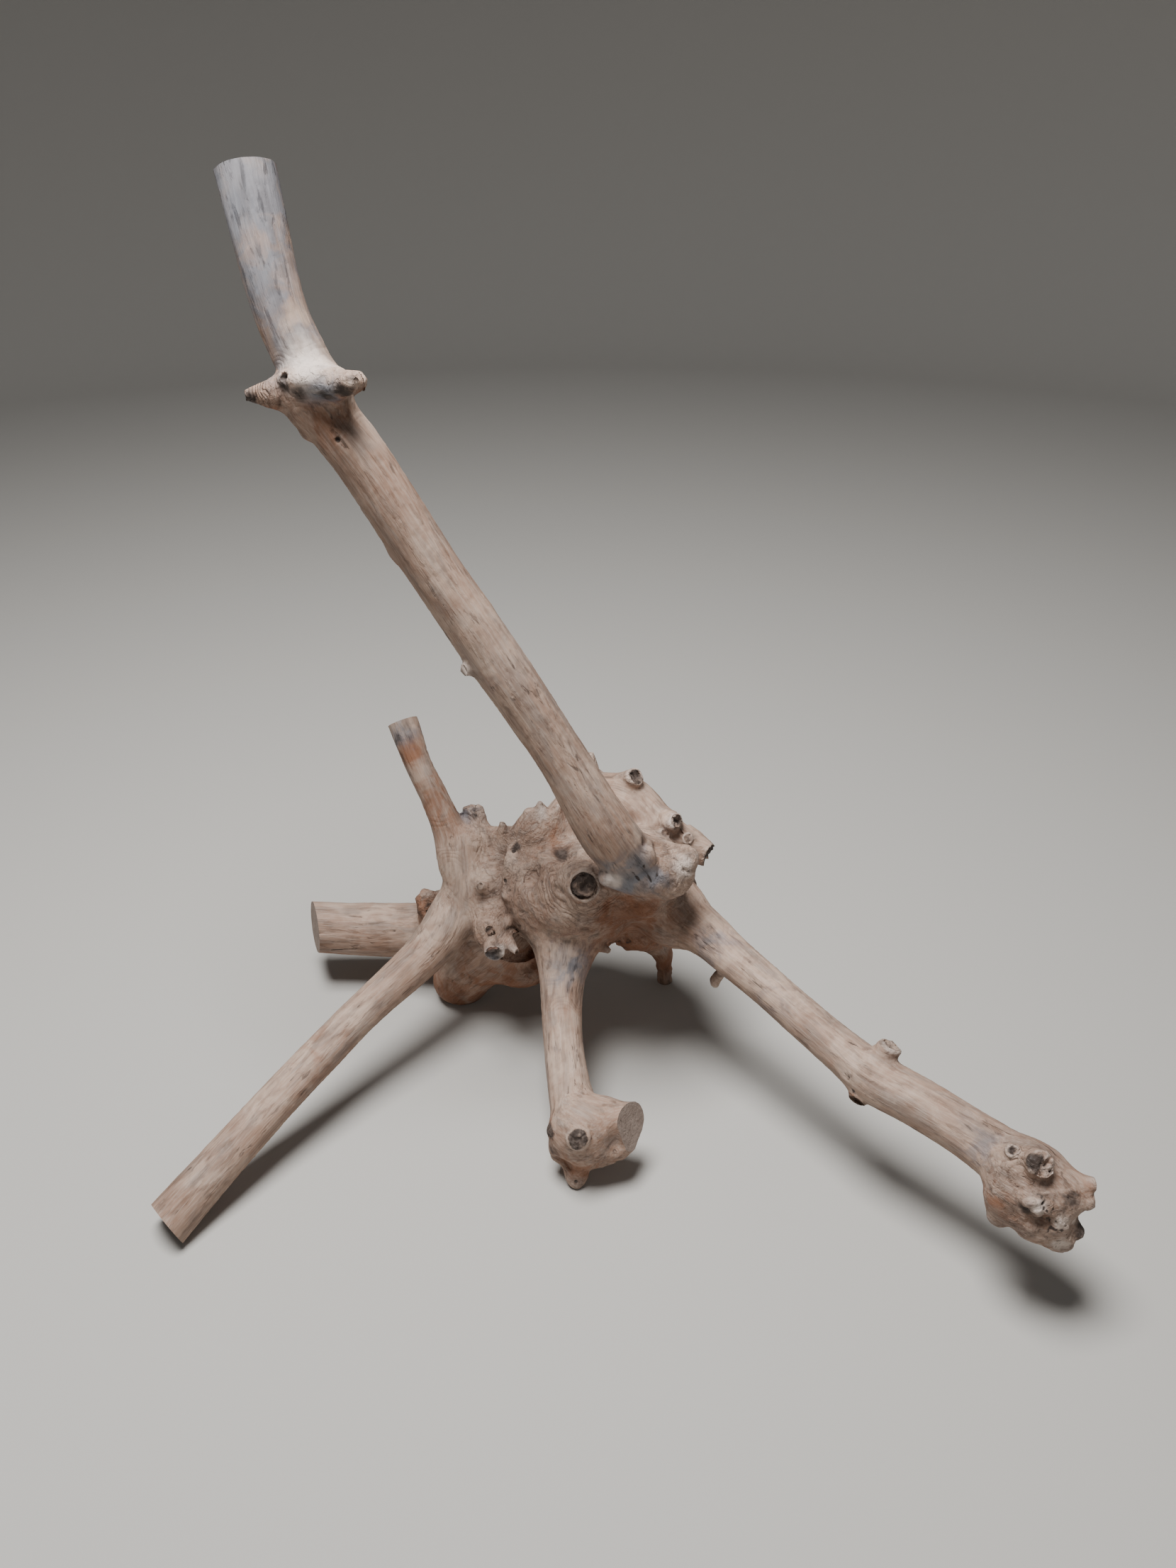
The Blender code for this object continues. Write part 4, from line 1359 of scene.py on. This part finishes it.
def blasted_wood(settings):
    """Dry hardwood root, stripped of its bark by sandblasting: matt, pale tan and silver
    along the grain, with dark flecks, blue-grey mould stains and amber heartwood where it broke.
    Brown in its creases and recesses and warm amber on its undersides are painted shade, and the
    blue-grey high on the long branch is painted cool light."""
    material, tree, shader = new_material("Sandblasted hardwood root", 0.74, 0.35)
    masks = pattern_sockets(tree)
    marks, stains, recessed, folds = (
        add_node(tree, "ShaderNodeAttribute", attribute_name=name).outputs
        for name in ("marks", "stains", "painted_shade_and_brown", "folds"))
    mark, stain = (
        add_node(tree, "ShaderNodeSeparateColor", {"Color": packed["Color"]}).outputs
        for packed in (marks, stains))
    dark, rim, hollow, burl = mark[0], mark[1], mark[2], marks["Alpha"]
    blue, amber, crease_shade, worn = stain[0], stain[1], stain[2], stains["Alpha"]
    painted_shade_and_brown = recessed["Fac"]
    smooth = add_node(
        tree, "ShaderNodeMath", {0: 1.0, 1: burl}, operation="SUBTRACT").outputs[0]

    fold = add_node(tree, "ShaderNodeSeparateXYZ", {"Vector": folds["Vector"]})
    pale = fold.outputs["Z"]
    # Finer folds between the modelled ones, about 4 mm apart and sharp in their creases.
    wave = add_node(tree, "ShaderNodeMath", {
        0: product(tree, fold.outputs["X"], math.pi)}, operation="SINE")
    round_fold = add_node(tree, "ShaderNodeMath", {0: wave.outputs[0]}, operation="ABSOLUTE")
    groove = add_node(tree, "ShaderNodeMapRange", {
        "Value": round_fold.outputs[0], "From Min": 0.45, "From Max": 0.0})
    fold_line = product(tree, groove.outputs["Result"], fold.outputs["Y"])
    fold_rise = product(tree, round_fold.outputs[0], fold.outputs["Y"])
    flecked = product(tree, masks["flecks"], masks["scatter"], smooth)
    dark, blue, amber, pale = (
        broken_up(tree, stain, masks["blotches"], low, high) for stain, low, high in (
            (dark, 0.34, 0.72), (blue, 0.34, 0.95), (amber, 0.30, 0.95), (pale, 0.40, 0.90)))
    colour = layered_colour(tree, settings.pale_wood, (
        (masks["patches"], settings.tan_wood, 0.60),
        (masks["bands"], settings.grey_wood, 0.62),
        (masks["blotches"], settings.tan_wood, 0.42),
        (product(tree, masks["mottle"], burl), settings.brown_wood, 0.28),
        # Painted shade: recesses and undersides darkened brown, together with the brown patches.
        (painted_shade_and_brown, settings.brown_wood, 0.60),
        (masks["fibres"], settings.cream_wood, 0.22),
        (product(tree, masks["streaks"], smooth), settings.brown_wood, 0.36),
        # Amber: heartwood and bark stain, and painted warm shade on the undersides.
        (amber, settings.amber_wood, 0.70),
        # Blue: mould stains, and painted cool light high on the long branch.
        (blue, settings.blue_wood, 0.70),
        (product(tree, blue, masks["streaks"]), settings.soot, 0.50),
        (flecked, settings.soot, 0.62),
        (product(tree, masks["pores"], burl), settings.soot, 0.45),
        (pale, settings.cream_wood, 0.80),
        (worn, settings.cream_wood, 0.32),
        (fold_line, settings.brown_wood, 0.42),
        # Painted shade: creases darkened brown.
        (crease_shade, settings.brown_wood, 0.75),
        (hollow, settings.soot, 0.42),
        (rim, settings.cream_wood, 0.22),
        (dark, settings.soot, 0.93),
        (product(tree, dark, masks["mottle"]), settings.grey_wood, 0.35),
    ))
    tree.links.new(colour, shader.inputs["Base Color"])
    # Bare weathered wood scatters widely; only the worn edges are a little polished.
    roughness = add_node(tree, "ShaderNodeMapRange", {
        "Value": worn, "To Min": 0.74, "To Max": 0.52})
    tree.links.new(roughness.outputs["Result"], shader.inputs["Roughness"])
    tree.links.new(bumped(tree, (
        (masks["streaks"], 0.22),
        (masks["fibres"], 0.10),
        (flecked, -0.20),
        (fold_rise, 0.60),
        (product(tree, masks["mottle"], burl), 0.45),
        (product(tree, masks["pores"], burl), -0.30),
    )), shader.inputs["Normal"])
    return material


def end_grain(settings):
    """The same wood sawn across, grey or brown with age: growth rings, the sine of the
    distance from the pith, and checks, noise on the angle round it."""
    material, tree, shader = new_material("Sawn end grain", 0.85, 0.3)
    cut = add_node(tree, "ShaderNodeAttribute", attribute_name="cut")
    spot = add_node(tree, "ShaderNodeSeparateXYZ", {"Vector": cut.outputs["Vector"]})
    place = add_node(tree, "ShaderNodeTexCoord")
    wobble = add_node(tree, "ShaderNodeTexNoise", {
        "Vector": place.outputs["Object"], "Scale": 1 / (RING_SWAY_SIZE * MM), "Detail": 3.0})
    flat = add_node(tree, "ShaderNodeCombineXYZ", {"X": spot.outputs["X"], "Y": spot.outputs["Y"]})
    out = add_node(
        tree, "ShaderNodeVectorMath", {0: flat.outputs["Vector"]}, operation="LENGTH")
    swayed = add_node(tree, "ShaderNodeMath", {
        0: wobble.outputs["Fac"], 1: RING_SWAY, 2: out.outputs["Value"]},
        operation="MULTIPLY_ADD")
    turns = product(tree, swayed.outputs[0], 2 * math.pi / RING_WIDTH)
    wave = add_node(tree, "ShaderNodeMath", {0: turns}, operation="SINE")
    rings = add_node(tree, "ShaderNodeMapRange", {
        "Value": wave.outputs[0], "From Min": -0.2, "From Max": 1.0})
    round_it = add_node(tree, "ShaderNodeMath", {
        0: spot.outputs["Y"], 1: spot.outputs["X"]}, operation="ARCTAN2")
    spokes = add_node(tree, "ShaderNodeCombineXYZ", {
        "X": product(tree, round_it.outputs[0], 3.4),
        "Y": product(tree, out.outputs["Value"], 0.03)})
    checked = add_node(tree, "ShaderNodeTexNoise", {
        "Vector": spokes.outputs["Vector"], "Scale": 1.6, "Detail": 2.0})
    checks = add_node(tree, "ShaderNodeMapRange", {
        "Value": checked.outputs["Fac"], "From Min": 0.66, "From Max": 0.72})
    specks = add_node(tree, "ShaderNodeTexNoise", {
        "Vector": place.outputs["Object"], "Scale": 1 / (SPECK_SIZE * MM), "Detail": 3.0})
    grit = add_node(tree, "ShaderNodeMapRange", {
        "Value": specks.outputs["Fac"], "From Min": 0.45, "From Max": 0.70})
    colour = layered_colour(tree, settings.cream_wood, (
        (rings.outputs["Result"], settings.tan_wood, 0.14),
        (wobble.outputs["Fac"], settings.grey_wood, 0.80),
        (spot.outputs["Z"], settings.brown_wood, 0.95),
        (grit.outputs["Result"], settings.brown_wood, 0.25),
        (checks.outputs["Result"], settings.soot, 0.45),
    ))
    tree.links.new(colour, shader.inputs["Base Color"])
    tree.links.new(bumped(tree, (
        (rings.outputs["Result"], 0.03),
        (checks.outputs["Result"], -0.4),
        (grit.outputs["Result"], -0.15),
    )), shader.inputs["Normal"])
    return material


def studio_paper(settings):
    """Plain matt paper for the floor and the backdrop: no gloss and no pattern."""
    material, _, shader = new_material("Plain studio paper", 0.9, 0.1)
    shader.inputs["Base Color"].default_value = settings.floor_colour
    return material


# ---------------------------------------------------------------------------------------
# The stage: camera, lights and floor.

# The camera looks down at the root from in front. Sizes in metres, angles in degrees.
CAMERA_PLACE = (-0.0047, -0.6604, 0.720)
CAMERA_TILT = 58.0          # from straight down
SENSOR_HEIGHT = 36.0        # millimetres
LENS = 27.0                 # millimetres

# Soft lights: name, place, what it points at, width and power.
SOFT_LIGHTS = (
    ("overhead", (-0.25, -0.10, 1.75), (0.0, 0.0, 0.1), 0.75, 53.0),
    ("front", (0.7, -1.8, 1.3), (0.0, 0.0, 0.2), 1.2, 3.6),
)
SKY_COLOUR = "#e9eaec"
SKY_STRENGTH = 0.10

# The floor's flat part, the bend up into the wall and the wall's top.
FLOOR_RADIUS = 2.6
BEND = 0.9
WALL_TOP = 2.4
BEND_STEPS = 16
FLOOR_SIDES = 96


def backdrop_mesh():
    """A round floor whose edge curves up into a wall: the outline, a straight line, a
    quarter circle and a straight line, turned once about the upright axis."""
    bend = np.linspace(0.0, np.pi / 2, BEND_STEPS + 1)
    radius = np.concatenate(
        [[FLOOR_RADIUS / 2], FLOOR_RADIUS + BEND * np.sin(bend), [FLOOR_RADIUS + BEND]])
    height = np.concatenate([[0.0], BEND * (1.0 - np.cos(bend)), [WALL_TOP]])
    turn = turns_of(FLOOR_SIDES)
    rings = np.stack([
        radius[:, None] * np.cos(turn),
        radius[:, None] * np.sin(turn),
        np.repeat(height[:, None], len(turn), axis=1),
    ], axis=2)
    index = 1 + np.arange(rings[..., 0].size).reshape(rings.shape[:2])
    after = np.roll(index, -1, axis=1)
    quads = np.stack([index[:-1], index[1:], after[1:], after[:-1]], axis=2).reshape(-1, 4)
    middle = np.stack([np.zeros(len(turn), int), index[0], after[0]], axis=1)
    points = np.vstack([np.zeros((1, 3)), rings.reshape(-1, 3)])
    mesh = bpy.data.meshes.new("floor")
    mesh.from_pydata(points.tolist(), [], middle.tolist() + quads.tolist())
    mesh.shade_smooth()
    return mesh


# ---------------------------------------------------------------------------------------
# The add-on: settings, operators and the panel.

def size_setting(name, millimetres, text):
    """A length, kept in metres."""
    return FloatProperty(
        name=name, description=text, default=millimetres * MM, min=0.0, unit="LENGTH",
        precision=5)


def colour_setting(name, text, given):
    """A colour, given as sRGB hex and kept linear."""
    return FloatVectorProperty(
        name=name, description=text, default=hex_colour(given), size=4, min=0.0, max=1.0,
        subtype="COLOR")


class DryRootSettings(PropertyGroup):
    """The sizes of the relief and the colours of the wood"""
    cell: size_setting("Skin cell", 3.6, "Size of the skin's faces on plain wood")
    fine: size_setting("Fine face", 2.8, "Longest edge on the crown and the feet")
    mark: size_setting("Mark face", 1.6, "Longest edge on knots, cracks and holes")
    swell: size_setting("Swell", 0.85, "Slow swelling along the limbs")
    grain: size_setting("Grain", 0.22, "Ridges that run along the grain")
    groove: size_setting("Groove", 0.22, "Long hollows blown out of the soft grain")
    burl: size_setting("Burl", 2.30, "Lumpiness of the crown")
    ridge: size_setting("Ridge", 0.85, "Wandering ridges of the crown")
    pit: size_setting("Pit", 0.80, "Pits blown out of the crown")
    fold: size_setting("Fold", 1.00, "Height of a full fold")
    rot: size_setting("Rot", 2.60, "Depth of the chunks that rot has left")
    rasp: size_setting("Rasp", 0.12, "Overall unevenness left by the grit")
    pale_wood: colour_setting("Pale wood", "Most of the blasted skin", "#b49b8a")
    cream_wood: colour_setting("Cream wood", "Worn edges and fibres", "#d2c3b8")
    tan_wood: colour_setting("Tan wood", "Warmer patches", "#8c6a56")
    grey_wood: colour_setting("Grey wood", "Weathered bands", "#7f7067")
    # Brown also paints the shade in creases, recesses, undersides and at the feet.
    brown_wood: colour_setting("Brown wood", "Creases and old cuts", "#4f3423")
    # Amber also paints the warm shade of the undersides.
    amber_wood: colour_setting("Amber wood", "Heartwood and the underside", "#834e2b")
    # Blue also paints the cool light high on the long branch.
    blue_wood: colour_setting("Blue stain", "Mould stains", "#6c7884")
    soot: colour_setting("Dark knot", "Dead knots, flecks and cracks", "#2b221e")
    floor_colour: colour_setting("Floor", "The plain pale floor", "#b8b5b0")


# The settings that are lengths.
LENGTHS = (
    "cell", "fine", "mark", "swell", "grain", "groove", "burl", "ridge", "pit", "fold", "rot",
    "rasp",
)


def note_stains(mesh, rows, triangles, limbs):
    """Gives the mesh what the materials read at each point: its grain, marks, stains,
    folds, the shade painted into its creases, recesses and undersides, and its place on a saw cut."""
    places = rows[:, PLACE]
    grain, gap = grain_frame(places, limbs)
    crown = eased(*CROWN_GAP, gap)
    worn = eased(0.03, 0.16, rows[:, BENT])
    # Painted shade: how far a crease sinks, used to darken it brown.
    crease_shade = eased(0.03, 0.20, -rows[:, BENT])
    blue, amber, brown, pale = (
        reach_mask(places, spots)
        for spots in (BLUE_STAINS_AND_COOL_LIGHT, AMBER_STAINS_AND_SHADE, BROWN_STAINS_AND_SHADE, PALE_STAINS))
    # Painted shade: undersides are painted amber and brown, and recesses, by how shut in they are,
    # brown; the brown patches are added to that painted shade.
    under = eased(0.10, 0.95, -corner_normals(places, triangles)[:, 2])
    amber = np.maximum(amber, 0.62 * under)
    painted_shade_and_brown = np.maximum(0.75 * eased(0.08, 0.62, rows[:, SHUT]), 0.60 * under)
    painted_shade_and_brown = np.maximum(painted_shade_and_brown, brown)
    marks = rows[:, DARK], rows[:, LIGHT_RIM], rows[:, PITTED], crown
    add_values(mesh, "grain", "FLOAT_VECTOR", grain)
    add_values(mesh, "marks", "FLOAT_COLOR", np.column_stack(marks))
    add_values(mesh, "stains", "FLOAT_COLOR", np.column_stack([blue, amber, crease_shade, worn]))
    folds = rows[:, TURNS], rows[:, FOLDED], pale
    add_values(mesh, "folds", "FLOAT_VECTOR", np.column_stack(folds))
    add_values(mesh, "painted_shade_and_brown", "FLOAT", painted_shade_and_brown)
    add_values(mesh, "cut", "FLOAT_VECTOR", rows[:, [CUT_X, CUT_Y, TONE]])


def finish_cuts(mesh, rows, triangles):
    """Gives the sawn faces the second material, and their rims a sharp edge."""
    on_cut = (rows[:, CUT] + rows[:, EDGE])[triangles].min(axis=1) > 0.5
    mesh.polygons.foreach_set("material_index", on_cut.astype(np.int32))
    ends = np.empty(len(mesh.edges) * 2, np.int32)
    mesh.edges.foreach_get("vertices", ends)
    sharp = (rows[:, EDGE][ends.reshape(-1, 2)] > 0.5).all(axis=1)
    mesh.attributes.new("sharp_edge", "BOOLEAN", "EDGE").data.foreach_set("value", sharp)


class DRYROOT_OT_wood(Operator):
    """Makes the root's skin with its relief, knots and sawn ends"""
    bl_idname = "dryroot.wood"
    bl_label = "Wood"

    def execute(self, context):
        settings = context.scene.dry_root
        rows, triangles, limbs = wood_skin({key: getattr(settings, key) / MM for key in LENGTHS})
        mesh = triangle_mesh("root_wood", kept_inside(rows[:, PLACE]), triangles)
        note_stains(mesh, rows, triangles, limbs)
        finish_cuts(mesh, rows, triangles)
        piece = as_piece("root_wood", mesh, blasted_wood(settings), end_grain(settings))
        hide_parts(NODE)
        return {"FINISHED"}


class DRYROOT_OT_stage(Operator):
    """Lays the pale floor and sets the soft lights and the camera"""
    bl_idname = "dryroot.stage"
    bl_label = "Stage"

    def execute(self, context):
        settings = context.scene.dry_root
        floor = bpy.data.objects.new("floor", backdrop_mesh())
        floor.data.materials.append(studio_paper(settings))
        context.scene.collection.objects.link(floor)
        for name, place, aim, size, power in SOFT_LIGHTS:
            lamp = bpy.data.lights.new(name, "AREA")
            lamp.shape = "DISK"
            lamp.size = size
            lamp.energy = power
            light = bpy.data.objects.new(name, lamp)
            light.location = place
            way = Vector(aim) - Vector(place)
            light.rotation_euler = way.to_track_quat("-Z", "Y").to_euler()
            context.scene.collection.objects.link(light)
        world = bpy.data.worlds.new("Studio")
        world.use_nodes = True
        sky = world.node_tree.nodes["Background"]
        sky.inputs["Color"].default_value = hex_colour(SKY_COLOUR)
        sky.inputs["Strength"].default_value = SKY_STRENGTH
        context.scene.world = world

        lens = bpy.data.cameras.new("Camera")
        lens.sensor_fit = "VERTICAL"
        lens.sensor_height = SENSOR_HEIGHT
        lens.lens = LENS
        camera = bpy.data.objects.new("Camera", lens)
        camera.location = CAMERA_PLACE
        camera.rotation_euler = (math.radians(CAMERA_TILT), 0.0, 0.0)
        context.scene.collection.objects.link(camera)
        context.scene.camera = camera
        return {"FINISHED"}


class DRYROOT_PT_panel(Panel):
    """Shows the dry root's settings and a button for each operator"""
    bl_idname = "DRYROOT_PT_panel"
    bl_label = "Dry root"
    bl_space_type = "VIEW_3D"
    bl_region_type = "UI"
    bl_category = "Dry root"

    def draw(self, context):
        """Every setting, and a button for each operator."""
        settings = context.scene.dry_root
        for key in DryRootSettings.__annotations__:
            self.layout.prop(settings, key)
        for operator in OPERATORS:
            self.layout.operator(operator.bl_idname)


OPERATORS = (DRYROOT_OT_wood, DRYROOT_OT_stage)
CLASSES = (DryRootSettings, *OPERATORS, DRYROOT_PT_panel)


def register():
    """Adds the classes, and the settings to every scene."""
    for cls in CLASSES:
        bpy.utils.register_class(cls)
    bpy.types.Scene.dry_root = PointerProperty(type=DryRootSettings)


def unregister():
    """Takes them away again."""
    del bpy.types.Scene.dry_root
    for cls in reversed(CLASSES):
        bpy.utils.unregister_class(cls)


def main():
    """Makes every piece in order."""
    register()
    bpy.ops.dryroot.wood()
    bpy.ops.dryroot.stage()


if __name__ == "__main__":
    main()
